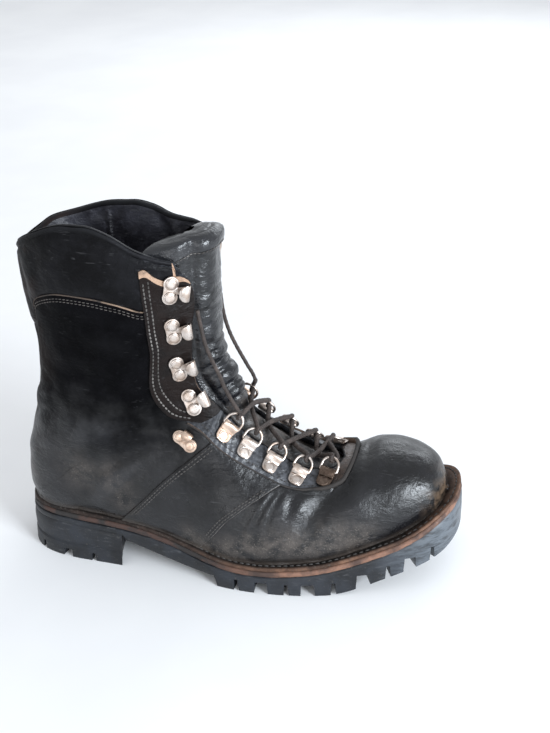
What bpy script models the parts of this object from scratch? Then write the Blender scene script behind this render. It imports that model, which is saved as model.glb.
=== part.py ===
"""Insulated lace-up work boot, right foot.

Axes while modelling: x runs from the heel to the toe, y from the outer (lateral, -y) to the
inner (medial, +y) side, z up from the floor, in millimetres.  finish() turns everything into
metres and puts the middle of the boot's footprint on the world origin.
"""
import math

import bmesh
import bpy
import numpy as np
from mathutils import Matrix, Vector

MM = 0.001
GAP = 0.3                   # clearance between neighbouring pieces

# ---- driving dimensions, mm --------------------------------------------------------------
WALL = 2.6                  # upper leather with its lining
COLLAR_WALL = 5.5           # padded collar panel
STAY_THICK = 1.8            # reinforcing strip under the speed hooks
TONGUE_THICK = 4.0
INSOLE_THICK = 4.0
WELT_THICK = 3.0
MIDSOLE_THICK = 4.0
HEEL_PLATE = 4.2            # outsole running on over the heel block
LUG_DEPTH = 9.0
HEEL_BREAST_X = 86.0        # front face of the heel block
TREAD_START_X = 154.0       # first forefoot lug
LACE_DIAMETER = 3.4
LACE_END_DIAMETER = 2.5

# The last as a fan of sections, from the toe tip over the instep to the collar.  Each row has
# the section's low point and high point on the middle line, half widths to both sides, the
# middle line's place across, roundness exponents of the low and high ends, and the belly.
LAST_COLUMNS = ("low_x", "low_z", "high_x", "high_z", "lateral", "medial", "mid_y",
                "low_round", "high_round", "belly")
LAST_SECTIONS = {
    "toe_tip":     (301, 55, 300, 64,  6,  6,  9.0, .50, .90, .45),
    "toe_front":   (298, 46, 296, 72, 18, 18,  9.0, .45, .85, .45),
    "toe_box":     (291, 38, 288, 78, 27, 27, 10.0, .40, .80, .42),
    "toe_crown":   (278, 31, 274, 82, 36, 36, 10.0, .36, .78, .40),
    "toe_cap":     (261, 26, 256, 82, 42, 42,  8.0, .33, .78, .38),
    "vamp":        (240, 20, 236, 77, 46, 46,  4.0, .30, .80, .35),
    "ball":        (216, 15, 212, 79, 49, 49,  0.0, .30, .85, .32),
    "low_instep":  (189, 12, 188, 93, 52, 46, -1.0, .32, .90, .30),
    "instep":      (162, 13, 171, 108, 51, 42, -2.5, .35, .95, .30),
    "waist":       (133, 19, 163, 120, 46, 38, -3.5, .38, .95, .32),
    "arch":        (103, 26, 158, 131, 42, 36, -4.5, .42, .90, .34),
    "seat":        (66, 28, 155, 141, 39, 36, -5.0, .50, .85, .34),
    "heel_under":  (34, 26, 153, 150, 37, 36, -5.5, .62, .80, .36),
    "heel_corner": (15, 36, 152, 160, 37, 36, -6.0, .75, .78, .40),
    "heel_back":   (10, 60, 151, 172, 38, 37, -6.0, .80, .76, .45),
    "achilles":    (22, 110, 151, 190, 39, 38, -5.0, .78, .72, .50),
    "ankle":       (28, 146, 151, 207, 41, 40, -4.0, .74, .72, .52),
    "shaft":       (27, 184, 151, 229, 43, 42, -3.0, .74, .72, .52),
    "collar":      (23, 224, 152, 250, 44, 43, -2.0, .74, .72, .52),
    "collar_top":  (19, 262, 152, 270, 44, 43, -2.0, .74, .72, .52),
}
LAST = np.array(list(LAST_SECTIONS.values()), float)
SECTION = {name: number for number, name in enumerate(LAST_SECTIONS)}

# Height of the feather line, where the upper meets the sole: (x, z)
FEATHER_PROFILE = ((-15, 38), (40, 39.5), (68, 38), (92, 36), (121, 31), (144, 25), (163, 21.5),
                   (181, 20.5), (205, 22), (228, 25), (251, 31), (273, 38.5), (288, 46), (300, 54),
                   (311, 61), (322, 67))
# Underside of the tread, on the floor up to the ball and then sprung to the toe: (x, z)
TREAD_PROFILE = ((-20, 0), (228, 0), (240, 1.5), (252, 5), (266, 10), (280, 15), (292, 19),
                 (303, 24), (312, 30), (322, 37))
# Sole edge outside the feather line: (x, distance)
SOLE_MARGIN = ((0, 5.0), (90, 5.0), (150, 6.5), (235, 8.5), (290, 11.5), (320, 12.5))

# Half opening of the lacing gap as an angle on the section: (section number, degrees)
THROAT_END = 5.15
THROAT_ANGLE = ((THROAT_END, 0.0), (5.25, 8.0), (5.5, 12.5), (6, 15.0), (7, 16.5), (8, 18.5),
                (9, 21.0), (10, 24.0), (11, 26.5), (13, 28.5), (15, 29.0), (18.2, 31.0),
                (18.5, 36.0), (19, 40.5))
# Height of the collar round the leg, by angle from the front: (degrees, z)
COLLAR_PROFILE = ((0, 225), (30, 227), (50, 232), (67, 239), (82, 249), (95, 253.5), (110, 252.5),
                  (130, 245), (150, 236), (165, 229), (180, 225.5))
# how much lower the collar is on the inner side, by the same angle
MEDIAL_COLLAR_DROP = ((0, -2), (30, -2), (45, -0.5), (60, 4.5), (75, 10), (100, 14.5),
                      (130, 10.5), (155, 3), (180, 0))

# Hardware: where each hook sits in the side view, its turn in degrees, and the extra height that
# the hollow of the ankle asks for: (x, z, turn, extra)
HOOK_PLACES = ((134.5, 212.5, -30, 0.0), (133.5, 184.5, -22, 0.0), (133.5, 156.5, -24, 0.2),
               (140, 130, -27, 1.1))
ANKLE_HOOK_PLACE = (135.5, 104, -6)
CLIP_SECTIONS = (8.9, 7.78, 6.93, 6.22, 5.48)   # section numbers, top to bottom
CLIP_ANGLE_BEYOND_THROAT = 8.5      # degrees outside the throat edge
RING_WIRE = 1.8
RING_WIDTH = 13.4
RING_REACH = 9.5

FELT = dict(color=(0.05, 0.045, 0.04), roughness=0.95)
BLACK_LEATHER = dict(color=(0.022, 0.021, 0.021), roughness=0.5)
BROWN_LEATHER = dict(color=(0.16, 0.075, 0.035), roughness=0.75)
RUBBER = dict(color=(0.05, 0.052, 0.056), roughness=0.8)
NICKEL = dict(color=(0.62, 0.58, 0.52), roughness=0.35, metallic=1.0)
LACE_CORD = dict(color=(0.13, 0.11, 0.09), roughness=0.9)


# ---- curves and the last ------------------------------------------------------------------
def profile(table, at):
    """Value of a (position, value) table by a smooth curve through its rows."""
    places, values = np.array(table, float).T
    at = np.clip(np.asarray(at, float), places[0], places[-1])
    slopes = np.diff(values) / np.diff(places)
    tangents = np.r_[slopes[0], (slopes[:-1] + slopes[1:]) / 2, slopes[-1]]
    flat = np.r_[False, slopes[:-1] * slopes[1:] <= 0, False]
    tangents[flat] = 0.0
    i = np.clip(np.searchsorted(places, at, side="right") - 1, 0, len(places) - 2)
    span = places[i + 1] - places[i]
    t = (at - places[i]) / span
    return ((2 * t**3 - 3 * t**2 + 1) * values[i] + (t**3 - 2 * t**2 + t) * span * tangents[i]
            + (3 * t**2 - 2 * t**3) * values[i + 1] + (t**3 - t**2) * span * tangents[i + 1])


def section_row(s):
    """The last's row at section number s, by a Catmull-Rom curve through the rows."""
    last_row = len(LAST) - 1
    s = np.clip(np.asarray(s, float), 0, last_row - 1e-9)
    i = np.floor(s).astype(int)
    t = (s - i)[..., None]
    before, start = LAST[np.maximum(i - 1, 0)], LAST[i]
    end, after = LAST[np.minimum(i + 1, last_row)], LAST[np.minimum(i + 2, last_row)]
    return 0.5 * (2 * start + (end - before) * t + (2 * before - 5 * start + 4 * end - after) * t**2
                  + (3 * start - before - 3 * end + after) * t**3)


def last_point(s, angle):
    """Point on the last.  angle is 0 on the top or front line and +-pi on the bottom or back
    line; positive angles lie on the lateral side."""
    s, angle = np.broadcast_arrays(np.asarray(s, float), np.asarray(angle, float))
    (low_x, low_z, high_x, high_z, lateral, medial, mid_y,
     low_round, high_round, belly) = np.moveaxis(section_row(s), -1, 0)
    turn = np.abs(angle)
    rise = ((1 + np.cos(turn)) / 2) ** (np.log(belly) / np.log(0.5))
    toward_low = 1 / (1 + np.exp(-4 * (turn - np.pi / 2)))
    roundness = high_round * (1 - toward_low) + low_round * toward_low
    width = np.where(angle >= 0, lateral, medial) * np.clip(np.sin(turn), 0, 1) ** roundness
    return np.stack([low_x + (high_x - low_x) * rise, mid_y - np.where(angle >= 0, width, -width),
                     low_z + (high_z - low_z) * rise], -1)


def last_normal(s, angle, step=0.02):
    """Outward unit normal of the last."""
    s, angle = np.broadcast_arrays(np.asarray(s, float), np.asarray(angle, float))
    turn = np.clip(np.abs(angle), 0.03, np.pi - 0.03) * np.where(angle >= 0, 1, -1)
    along = last_point(s + step, turn) - last_point(s - step, turn)
    across = last_point(s, turn + step) - last_point(s, turn - step)
    normal = np.cross(along, across)
    middle = (np.abs(angle) < 0.03) | (np.abs(angle) > np.pi - 0.03)
    normal[..., 1] = np.where(middle, 0.0, normal[..., 1])
    return normal / np.maximum(np.linalg.norm(normal, axis=-1, keepdims=True), 1e-9)


def feather_z(x):
    return profile(FEATHER_PROFILE, x)


def solve(function, low, high, steps=40):
    """Root of function between the arrays low (value > 0) and high (value <= 0)."""
    low, high = np.array(low, float), np.array(high, float)
    for _ in range(steps):
        middle = (low + high) / 2
        above = function(middle) > 0
        low, high = np.where(above, middle, low), np.where(above, high, middle)
    return (low + high) / 2


def feather_angle(s, side, lift=0.0):
    """Angle at which section s comes down to the feather line on one side (+1 lateral)."""
    s = np.asarray(s, float)

    def above(angle):
        point = last_point(s, side * angle)
        return point[..., 2] - feather_z(point[..., 0]) - lift

    return solve(above, np.full(s.shape, 0.2), np.full(s.shape, np.pi))


def back_start(lift=0.0):
    """Section number at which the back line leaves the feather line."""
    def below(s):
        point = last_point(s, np.full(np.shape(s), np.pi))
        return feather_z(point[..., 0]) + lift - point[..., 2]

    return float(solve(below, SECTION["heel_under"], SECTION["heel_back"]))


BACK_START = back_start(GAP)


def collar_section(angle):
    """Section number of the collar's edge at an angle."""
    angle = np.asarray(angle, float)
    height = profile(COLLAR_PROFILE, np.degrees(np.abs(angle)))
    height = height - np.where(angle < 0, profile(MEDIAL_COLLAR_DROP, np.degrees(np.abs(angle))), 0.0)
    return solve(lambda s: height - last_point(s, angle)[..., 2],
                 np.full(angle.shape, SECTION["ankle"] - 1.0), np.full(angle.shape, 18.99))


def throat_angle(s):
    return np.radians(profile(THROAT_ANGLE, s)) * (np.asarray(s) > THROAT_END)


def upper_section(s, angle):
    """Section number squeezed so that the last row follows the collar's edge."""
    start, end = SECTION["heel_back"] + 1.0, float(len(LAST) - 1)
    squeezed = start + (s - start) * (collar_section(angle) - start) / (end - start)
    return np.where(s > start, squeezed, s)


def feather_loop(count=240):
    """The feather line in plan as a closed, evenly spaced loop from the back centre round the
    lateral side, the toe and the medial side, with outward normals."""
    s = np.r_[np.linspace(0.0, BACK_START, 400)][::-1]
    lateral = last_point(s, feather_angle(s, 1))[:, :2]
    medial = last_point(s[::-1], -feather_angle(s[::-1], -1))[:, :2]
    loop = np.vstack([lateral, medial])
    loop = np.vstack([loop, loop[:1]])
    run = np.r_[0, np.cumsum(np.linalg.norm(np.diff(loop, axis=0), axis=1))]
    even = np.linspace(0, run[-1], count + 1)[:-1]
    points = np.stack([np.interp(even, run, loop[:, k]) for k in (0, 1)], -1)
    for _ in range(6):
        points = (np.roll(points, 1, 0) + 2 * points + np.roll(points, -1, 0)) / 4
    tangent = np.roll(points, -1, 0) - np.roll(points, 1, 0)
    normal = np.stack([tangent[:, 1], -tangent[:, 0]], -1)
    normal /= np.linalg.norm(normal, axis=1, keepdims=True)
    if np.sum(normal * (points - points.mean(0))) < 0:
        normal = -normal
    return points, normal


FEATHER_LOOP, FEATHER_NORMAL = feather_loop()


def sole_loop(grow=0.0):
    """Outline of the sole edge in plan, grown outward by a distance."""
    margin = profile(SOLE_MARGIN, FEATHER_LOOP[:, 0]) + grow
    return FEATHER_LOOP + FEATHER_NORMAL * margin[:, None]


def inner_loop(inset):
    """Outline inside the feather line."""
    return FEATHER_LOOP - FEATHER_NORMAL * inset


def sides_at(loop, x):
    """Lateral and medial y of a loop at each x."""
    tip, back = int(np.argmax(loop[:, 0])), int(np.argmin(loop[:, 0]))
    rolled = np.roll(loop, -back, axis=0)
    tip = (tip - back) % len(loop)
    first, second = rolled[:tip + 1], np.vstack([rolled[tip:], rolled[:1]])[::-1]
    lateral, medial = (first, second) if first[:, 1].mean() < second[:, 1].mean() else (second, first)
    return np.interp(x, lateral[:, 0], lateral[:, 1]), np.interp(x, medial[:, 0], medial[:, 1])


# ---- building meshes ----------------------------------------------------------------------
def material(name, color, roughness, metallic=0.0):
    made = bpy.data.materials.get(name) or bpy.data.materials.new(name)
    made.use_nodes = True
    shader = made.node_tree.nodes["Principled BSDF"]
    shader.inputs["Base Color"].default_value = (*color, 1.0)
    shader.inputs["Roughness"].default_value = roughness
    shader.inputs["Metallic"].default_value = metallic
    made.diffuse_color = (*color, 1.0)
    return made


def add_object(name, data, finish, collection=None):
    """One object from mesh or curve data, with a material of its own."""
    thing = bpy.data.objects.new(name, data)
    (collection or bpy.context.scene.collection).objects.link(thing)
    data.materials.append(material(name + "_material", **finish))
    return thing


def shape_object(name, shape, finish, collection=None, closed=True):
    """One object from a bmesh in millimetres; a closed one gets its faces turned outward."""
    if closed:
        bmesh.ops.remove_doubles(shape, verts=shape.verts, dist=1e-4)
        bmesh.ops.recalc_face_normals(shape, faces=shape.faces)
    bmesh.ops.scale(shape, vec=(MM, MM, MM), verts=shape.verts)
    mesh = bpy.data.meshes.new(name)
    shape.to_mesh(mesh)
    shape.free()
    return add_object(name, mesh, finish, collection)


def add_faces(shape, vertices, faces):
    """Add vertices, and faces given as tuples of their numbers, to a bmesh."""
    made = [shape.verts.new(tuple(float(c) for c in vertex)) for vertex in vertices]
    for face in faces:
        shape.faces.new([made[k] for k in face])


def mesh_object(name, vertices, faces, finish, collection=None):
    shape = bmesh.new()
    add_faces(shape, vertices, faces)
    return shape_object(name, shape, finish, collection)


def add_disc(shape, frame, center, radius, low, high, sides):
    """Add a round disc that stands on a frame's xy plane."""
    middle = Matrix.Translation((center[0], center[1], (low + high) / 2))
    bmesh.ops.create_cone(shape, cap_ends=True, segments=sides, radius1=radius, radius2=radius,
                          depth=high - low, matrix=frame @ middle)


def add_prism(shape, outline, low, high, frame):
    """Add a flat outline of a frame's xy plane, extruded from low to high."""
    face = shape.faces.new([shape.verts.new(frame @ Vector((x, y, low))) for x, y in outline])
    grown = bmesh.ops.extrude_face_region(shape, geom=[face])["geom"]
    raised = [item for item in grown if isinstance(item, bmesh.types.BMVert)]
    bmesh.ops.translate(shape, vec=frame.to_3x3() @ Vector((0, 0, high - low)), verts=raised)


def spaced_stations(low, high, count, extra=()):
    """x places from low to high, closer together at both rounded ends."""
    turn = np.linspace(0, np.pi, count)
    x = low + (high - low) * (1 - np.cos(turn)) / 2
    return np.unique(np.round(np.r_[x, list(extra)], 4))


def plate(name, loop, top, bottom, finish, count=34, extra=(), limits=None, bottom_loop=None):
    """Closed plate with a plan outline, whose top and bottom are functions of x."""
    bottom_loop = loop if bottom_loop is None else bottom_loop
    low, high = loop[:, 0].min() + 0.02, loop[:, 0].max() - 0.02
    cut_low, cut_high = limits or (low, high)
    x = spaced_stations(low, high, count, extra)
    x = np.unique(np.r_[np.clip(x, cut_low, cut_high)])
    vertices = []
    for outline, height in ((loop, top), (bottom_loop, bottom)):
        x_here = np.interp(x, [low, high], [outline[:, 0].min() + .02, outline[:, 0].max() - .02])
        if limits:
            x_here = np.where(x >= cut_high - 1e-6, cut_high, x_here)
        lateral, medial = sides_at(outline, x_here)
        z = height(x)
        vertices += [np.stack([x_here, lateral, z], -1), np.stack([x_here, medial, z], -1)]
    n = len(x)
    top_lat, top_med, low_lat, low_med = (k * n for k in range(4))
    faces = [(top_lat, top_med, low_med, low_lat),
             (top_lat + n - 1, low_lat + n - 1, low_med + n - 1, top_med + n - 1)]
    for i in range(n - 1):
        faces += [(top_lat + i, top_lat + i + 1, top_med + i + 1, top_med + i),
                  (low_lat + i, low_med + i, low_med + i + 1, low_lat + i + 1),
                  (top_lat + i, low_lat + i, low_lat + i + 1, top_lat + i + 1),
                  (top_med + i, top_med + i + 1, low_med + i + 1, low_med + i)]
    return mesh_object(name, np.vstack(vertices), faces, finish)


def ring_strip(name, outer, inner, top, bottom, finish, step=4):
    """Closed band between two matching loops, with heights as functions of x."""
    outer, inner = outer[::step], inner[::step]
    middle = (outer + inner) / 2
    n = len(outer)
    rows = [np.c_[loop, top(loop[:, 0])] for loop in (outer, middle, inner)]
    rows += [np.c_[loop, bottom(loop[:, 0])] for loop in (inner, middle, outer)]
    count = len(rows)
    faces = [(row * n + i, row * n + (i + 1) % n, (row + 1) % count * n + (i + 1) % n,
              (row + 1) % count * n + i) for row in range(count) for i in range(n)]
    return mesh_object(name, np.vstack(rows), faces, finish)


def thicken(thing, wall, group=None):
    """Give an open surface a wall on its inner side."""
    modifier = thing.modifiers.new("Wall", "SOLIDIFY")
    modifier.thickness = wall * MM
    modifier.offset = -1.0
    modifier.use_even_offset = True
    modifier.use_rim = True
    if group:
        modifier.vertex_group = group


def shell(name, grid, wall, side, finish):
    """Sheet over a grid of points, shaped (rows, columns, 3), with its wall to the inside."""
    rows, columns = grid.shape[:2]
    faces = []
    for i in range(rows - 1):
        for j in range(columns - 1):
            a = i * columns + j
            quad = (a, a + 1, a + columns + 1, a + columns)
            faces.append(quad if side < 0 else quad[::-1])
    shape = bmesh.new()
    add_faces(shape, grid.reshape(-1, 3), faces)
    thing = shape_object(name, shape, finish, closed=False)
    thicken(thing, wall)
    return thing


def cord_curve(name, path, diameter, resolution, closed=False):
    """Round tube along a path as curve data; filled caps close its ends."""
    curve = bpy.data.curves.new(name, "CURVE")
    curve.dimensions = "3D"
    curve.bevel_depth = diameter / 2 * MM
    curve.bevel_resolution = resolution
    curve.use_fill_caps = not closed
    spline = curve.splines.new("POLY")
    spline.points.add(len(path) - 1)
    spline.use_cyclic_u = closed
    for point, place in zip(spline.points, path):
        point.co = (*(float(c) * MM for c in place), 1.0)
    return curve


def cord_mesh(name, path, diameter, resolution, collection=None):
    """The same tube turned into a mesh, for a boolean."""
    curve = bpy.data.objects.new(name + "_path", cord_curve(name + "_path", path, diameter, resolution))
    shape = bmesh.new()
    shape.from_mesh(curve.to_mesh())
    curve.to_mesh_clear()
    bpy.data.objects.remove(curve)
    bmesh.ops.scale(shape, vec=(1 / MM, 1 / MM, 1 / MM), verts=shape.verts)
    return shape_object(name, shape, LACE_CORD, collection)


def cutter_collection():
    found = bpy.data.collections.get("cutters")
    if not found:
        found = bpy.data.collections.new("cutters")
        bpy.context.scene.collection.children.link(found)
        found.hide_render = True
    return found


def boolean(thing, operand, operation, use_self=False):
    """Add an exact boolean whose operand stays in the cutter collection."""
    operand.hide_render = True
    operand.display_type = "WIRE"
    modifier = thing.modifiers.new(operation.title(), "BOOLEAN")
    modifier.operation = operation
    modifier.solver = "EXACT"
    modifier.use_self = use_self
    modifier.object = operand


# ---- sole ---------------------------------------------------------------------------------
def welt_bottom(x):
    return feather_z(x) - WELT_THICK


def midsole_top(x):
    return welt_bottom(x) - GAP


def midsole_bottom(x):
    return midsole_top(x) - MIDSOLE_THICK


def outsole_top(x):
    return midsole_bottom(x) - GAP


def tread_z(x):
    return profile(TREAD_PROFILE, x)


def groove_floor(x):
    """Rubber surface between the lugs."""
    return np.minimum(tread_z(x) + LUG_DEPTH, outsole_top(x) - 3.0)


def outsole_bottom(x):
    """Under the heel a thin plate, in the waist a thicker one, then the tread."""
    waist = np.interp(x, [HEEL_BREAST_X, 110, 135, TREAD_START_X], [22.0, 15.0, 10.0, 8.0])
    under_heel = outsole_top(x) - HEEL_PLATE
    return np.where(x < HEEL_BREAST_X + 1, under_heel,
                    np.where(x < TREAD_START_X, np.minimum(waist, outsole_top(x) - 4.5), tread_z(x)))


GROOVE_REACH_DOWN = 15.0    # cutters go on below the tread


def add_groove(shape, center, outward, reach_in, reach_out, width, floor_in, floor_out):
    """Add one cutting box across the sole edge, its top face sloping with the groove's floor."""
    outward = Vector((*outward, 0)).normalized()
    along = Vector((-outward.y, outward.x, 0))
    long_side = outward * (reach_in + reach_out) + Vector((0, 0, floor_out - floor_in))
    middle = Vector((*center, (floor_in + floor_out - GROOVE_REACH_DOWN) / 2))
    middle += outward * (reach_out - reach_in) / 2
    columns = (long_side, along * width, Vector((0, 0, GROOVE_REACH_DOWN)), middle)
    box = Matrix([column.to_4d() for column in columns]).transposed()
    box[3][:] = (0, 0, 0, 1)
    bmesh.ops.create_cube(shape, size=1.0, matrix=box)


EDGE_GROOVES = ((168.5, 2.4), (185.5, 8.5), (202.5, 2.4), (219.0, 8.5), (236.0, 2.4),
                (253.0, 8.5), (269.0, 2.4), (284.0, 7.5), (298.0, 2.4))
LUG_LENGTH = 15.0           # how far an edge lug reaches in from the sole edge
CHANNEL = 5.0               # groove between the edge lugs and the middle lugs
LUG_PITCH = 17.0            # spacing of the grooves between the middle lugs


def tread_cutters(name):
    """Every groove of the forefoot tread as boxes in one mesh."""
    shape = bmesh.new()
    loop = sole_loop()
    back, tip = int(np.argmin(loop[:, 0])), int(np.argmax(loop[:, 0]))
    for side in (-1, 1):
        run = [i for i in range(len(loop)) if (loop[i, 1] - loop[tip, 1]) * side > -0.5
               and loop[i, 0] > TREAD_START_X - 8]
        for x, width in EDGE_GROOVES:
            i = min(run, key=lambda k: abs(loop[k, 0] - x))
            center, outward = loop[i], FEATHER_NORMAL[i]
            inner_x = center[0] - outward[0] * LUG_LENGTH
            add_groove(shape, center, outward, LUG_LENGTH + 1.0, 6.0, width,
                       float(groove_floor(inner_x)), float(groove_floor(center[0] + 4)))
    # channel inside the edge lugs
    ring = [i for i in range(len(loop)) if loop[i, 0] > TREAD_START_X - 4]
    ordered = sorted(ring, key=lambda k: (k - back) % len(loop))[::5]
    corners = []
    for i in ordered:
        for inset in (LUG_LENGTH, LUG_LENGTH + CHANNEL):
            x, y = loop[i] - FEATHER_NORMAL[i] * inset
            floor = float(groove_floor(x))
            corners += [(x, y, floor), (x, y, floor - GROOVE_REACH_DOWN)]
    faces = [(0, 2, 3, 1), tuple(len(corners) - 4 + k for k in (0, 1, 3, 2))]
    for a in range(0, len(corners) - 4, 4):
        b = a + 4
        faces += [(a, b, b + 2, a + 2), (a + 1, a + 3, b + 3, b + 1),
                  (a, a + 1, b + 1, b), (a + 2, b + 2, b + 3, a + 3)]
    add_faces(shape, corners, faces)
    # grooves between the middle lugs, slanted forward to the middle line
    inset = LUG_LENGTH + CHANNEL
    for x in np.arange(TREAD_START_X + 11.0, 270.0, LUG_PITCH):
        lateral, medial = sides_at(loop, x)
        middle = (lateral + medial) / 2
        for edge, side in ((lateral + inset - 1, -1), (medial - inset + 1, 1)):
            if abs(edge - middle) > 6:
                add_groove(shape, (x, middle + side * 1.2), (-0.35, side), 1.0,
                           abs(edge - middle) + 0.6, 4.0, float(groove_floor(x)),
                           float(groove_floor(x - 6)))
    return shape_object(name, shape, RUBBER, cutter_collection())


def make_outsole():
    steps = (HEEL_BREAST_X, HEEL_BREAST_X + 2, TREAD_START_X - 1, TREAD_START_X + .01, 240, 252, 266)
    outsole = plate("outsole", sole_loop(-0.4), outsole_top, outsole_bottom, RUBBER, 36, steps)
    boolean(outsole, tread_cutters("outsole_grooves"), "DIFFERENCE", use_self=True)
    return outsole


HEEL_NOTCHES = ((22, 2.4), (43, 6.5), (62, 2.4))
HEEL_NOTCH_HEIGHT = 6.0
BREAST_HOLLOW = 10.5        # how far the concave breast reaches back at its middle
BREAST_RADIUS = 107.0
BREAST_LEAN = math.atan(3.0 / 33.0)


def make_heel():
    """Rubber heel block, flared a little at the floor, with its breast leaning forward."""
    top_loop, floor_loop = sole_loop(-0.2), sole_loop(1.6)
    heel = plate("heel", top_loop, lambda x: outsole_top(x) - HEEL_PLATE - GAP,
                 lambda x: np.zeros_like(x), RUBBER, 30, (20, 34, 50, 64, 76, HEEL_BREAST_X - 1),
                 limits=(top_loop[:, 0].min() + 0.02, HEEL_BREAST_X - 1), bottom_loop=floor_loop)
    shape = bmesh.new()
    for inner_side in (False, True):
        for x, width in HEEL_NOTCHES:
            nearest = np.argsort(np.abs(floor_loop[:, 0] - x))[:8]
            i = [k for k in nearest if (floor_loop[k, 1] > -6) == inner_side][0]
            add_groove(shape, floor_loop[i], FEATHER_NORMAL[i], 15, 6, width,
                       HEEL_NOTCH_HEIGHT, HEEL_NOTCH_HEIGHT)
    breast = Matrix.Translation((HEEL_BREAST_X - BREAST_HOLLOW + BREAST_RADIUS, -5.0, 0.0))
    bmesh.ops.create_cone(shape, cap_ends=True, segments=48, radius1=BREAST_RADIUS, depth=80.0,
                          radius2=BREAST_RADIUS, matrix=breast @ Matrix.Rotation(BREAST_LEAN, 4, "Y"))
    cutters = shape_object("heel_grooves", shape, RUBBER, cutter_collection())
    boolean(heel, cutters, "DIFFERENCE", use_self=True)
    return heel


def make_midsole():
    return plate("midsole", sole_loop(-0.8), midsole_top, midsole_bottom, BROWN_LEATHER, 32)


def make_welt():
    return ring_strip("welt", sole_loop(-1.2), inner_loop(4.2), feather_z, welt_bottom,
                      BLACK_LEATHER, step=5)


def make_insole():
    return plate("insole", inner_loop(5.4), lambda x: midsole_top(x) + GAP + INSOLE_THICK,
                 lambda x: midsole_top(x) + GAP, FELT, 26)


# ---- upper --------------------------------------------------------------------------------
UPPER_LIFT = 0.4            # of the upper's edge over the welt
UPPER_COLUMNS = 11
TOE_FRONT = 0.6             # how far the toe's front bulges past its first section
SECTION_MIDDLE = LAST_COLUMNS.index("mid_y")
UPPER_ROWS = np.r_[np.linspace(0.0, 3.0, 9)[:-1], np.linspace(3.0, THROAT_END, 5)[:-1],
                   THROAT_END, 5.3, 5.6, 6.0, 6.6, 7.2, 7.9, 8.6, 9.3, 10.0, 10.8, 11.5, 12.1,
                   12.6, 13.0]


def upper_rows():
    """Section numbers of the upper's rows, one of them where the back line starts."""
    above = np.linspace(BACK_START, len(LAST) - 1.0, 13)
    return np.unique(np.round(np.r_[UPPER_ROWS[UPPER_ROWS < BACK_START - 0.15], above], 6))


def collar_padding(s, angle):
    """0 on the boot, rising to 1 over the padded collar panel."""
    return np.clip((s - 17.0) / 0.8, 0, 1) * np.clip((np.abs(angle) - 0.75) / 0.3, 0, 1)


def upper_line(s, side):
    """One row of the upper on one side, from the sole or the back line to the throat."""
    low = np.pi if s >= BACK_START - 1e-6 else float(feather_angle(np.array(s), side, UPPER_LIFT))
    angle = side * np.linspace(low, float(throat_angle(s)), UPPER_COLUMNS)
    return last_point(upper_section(np.full(UPPER_COLUMNS, s), angle), angle), angle


def make_upper():
    """Hollow upper: one wall from the feather line to the collar, open at the throat."""
    shape = bmesh.new()
    numbers, walls = {}, []

    def vertex(key, point, wall):
        if key not in numbers:
            numbers[key] = shape.verts.new(tuple(float(c) for c in point))
            walls.append(wall)
        return numbers[key]

    rows = upper_rows()
    for side in (1, -1):
        lines = []
        for number, s in enumerate(rows):
            points, angle = upper_line(s, side)
            wall = WALL + (COLLAR_WALL - WALL) * collar_padding(s, angle)
            line = []
            for j in range(UPPER_COLUMNS):
                on_middle = (j == 0 and s >= BACK_START - 1e-6) or \
                            (j == UPPER_COLUMNS - 1 and s <= THROAT_END)
                key = (number, j) if on_middle else (side, number, j)
                line.append(vertex(key, points[j], wall[j]))
            lines.append(line)
        # a row along the feather line closes the front of the toe
        edge = np.array(lines[0][0].co)
        middle = np.array([edge[0] + TOE_FRONT, LAST[0, SECTION_MIDDLE], 0.0])
        tip = [lines[0][0]]
        for j in range(1, UPPER_COLUMNS):
            x, y, _ = edge + (middle - edge) * j / (UPPER_COLUMNS - 1)
            key = "tip" if j == UPPER_COLUMNS - 1 else ("tip", side, j)
            tip.append(vertex(key, (x, y, feather_z(x) + UPPER_LIFT), WALL))
        lines.insert(0, tip)
        for low_row, high_row in zip(lines, lines[1:]):
            for j in range(UPPER_COLUMNS - 1):
                quad = [low_row[j], low_row[j + 1], high_row[j + 1], high_row[j]]
                face = [v for k, v in enumerate(quad) if v != quad[k - 1]]
                if len(face) >= 3:
                    shape.faces.new(face if side > 0 else face[::-1])
    upper = shape_object("upper", shape, BLACK_LEATHER, closed=False)
    group = upper.vertex_groups.new(name="wall")
    for number, wall in enumerate(walls):
        group.add([number], wall / COLLAR_WALL, "REPLACE")
    thicken(upper, COLLAR_WALL, "wall")
    return upper


# ---- pieces that follow the upper ----------------------------------------------------------
STAY_START = 9.8
STAY_BACK_ANGLE = ((9.0, 28.0), (9.8, 36.0), (11.3, 46.0), (12.7, 51.0), (14.5, 59.0), (16.0, 64.0),
                   (19.0, 65.0))


def make_stay(side, name):
    """Strip along the front of the shaft that carries the speed hooks."""
    rows, columns = 12, 5
    grid = np.zeros((rows, columns, 3))
    for i, s in enumerate(np.linspace(STAY_START, 18.9, rows)):
        low = float(throat_angle(s)) + 0.012
        high = math.radians(float(profile(STAY_BACK_ANGLE, s)))
        angle = side * np.linspace(low, high, columns)
        real_s = upper_section(np.full(columns, s), angle)
        grid[i] = last_point(real_s, angle) + last_normal(real_s, angle) * (GAP + .25 + STAY_THICK)
    return shell(name, grid, STAY_THICK, side, BLACK_LEATHER)


TONGUE_START, TONGUE_END = 4.75, 17.75
TONGUE_HALF_WIDTH = ((4.7, 12.0), (5.5, 24.0), (7.0, 30.0), (9.0, 36.0), (12.0, 48.0), (15.5, 54.0),
                     (17.0, 62.0), (19.0, 66.0))
TONGUE_RISE = ((4.7, -7.0), (5.6, -1.5), (7.0, 0.5), (8.0, 1.5), (8.9, 6.0), (9.8, 9.0), (10.8, 7.5),
               (12.5, 4.5), (15.0, 4.0), (19.0, 5.0))


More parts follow.
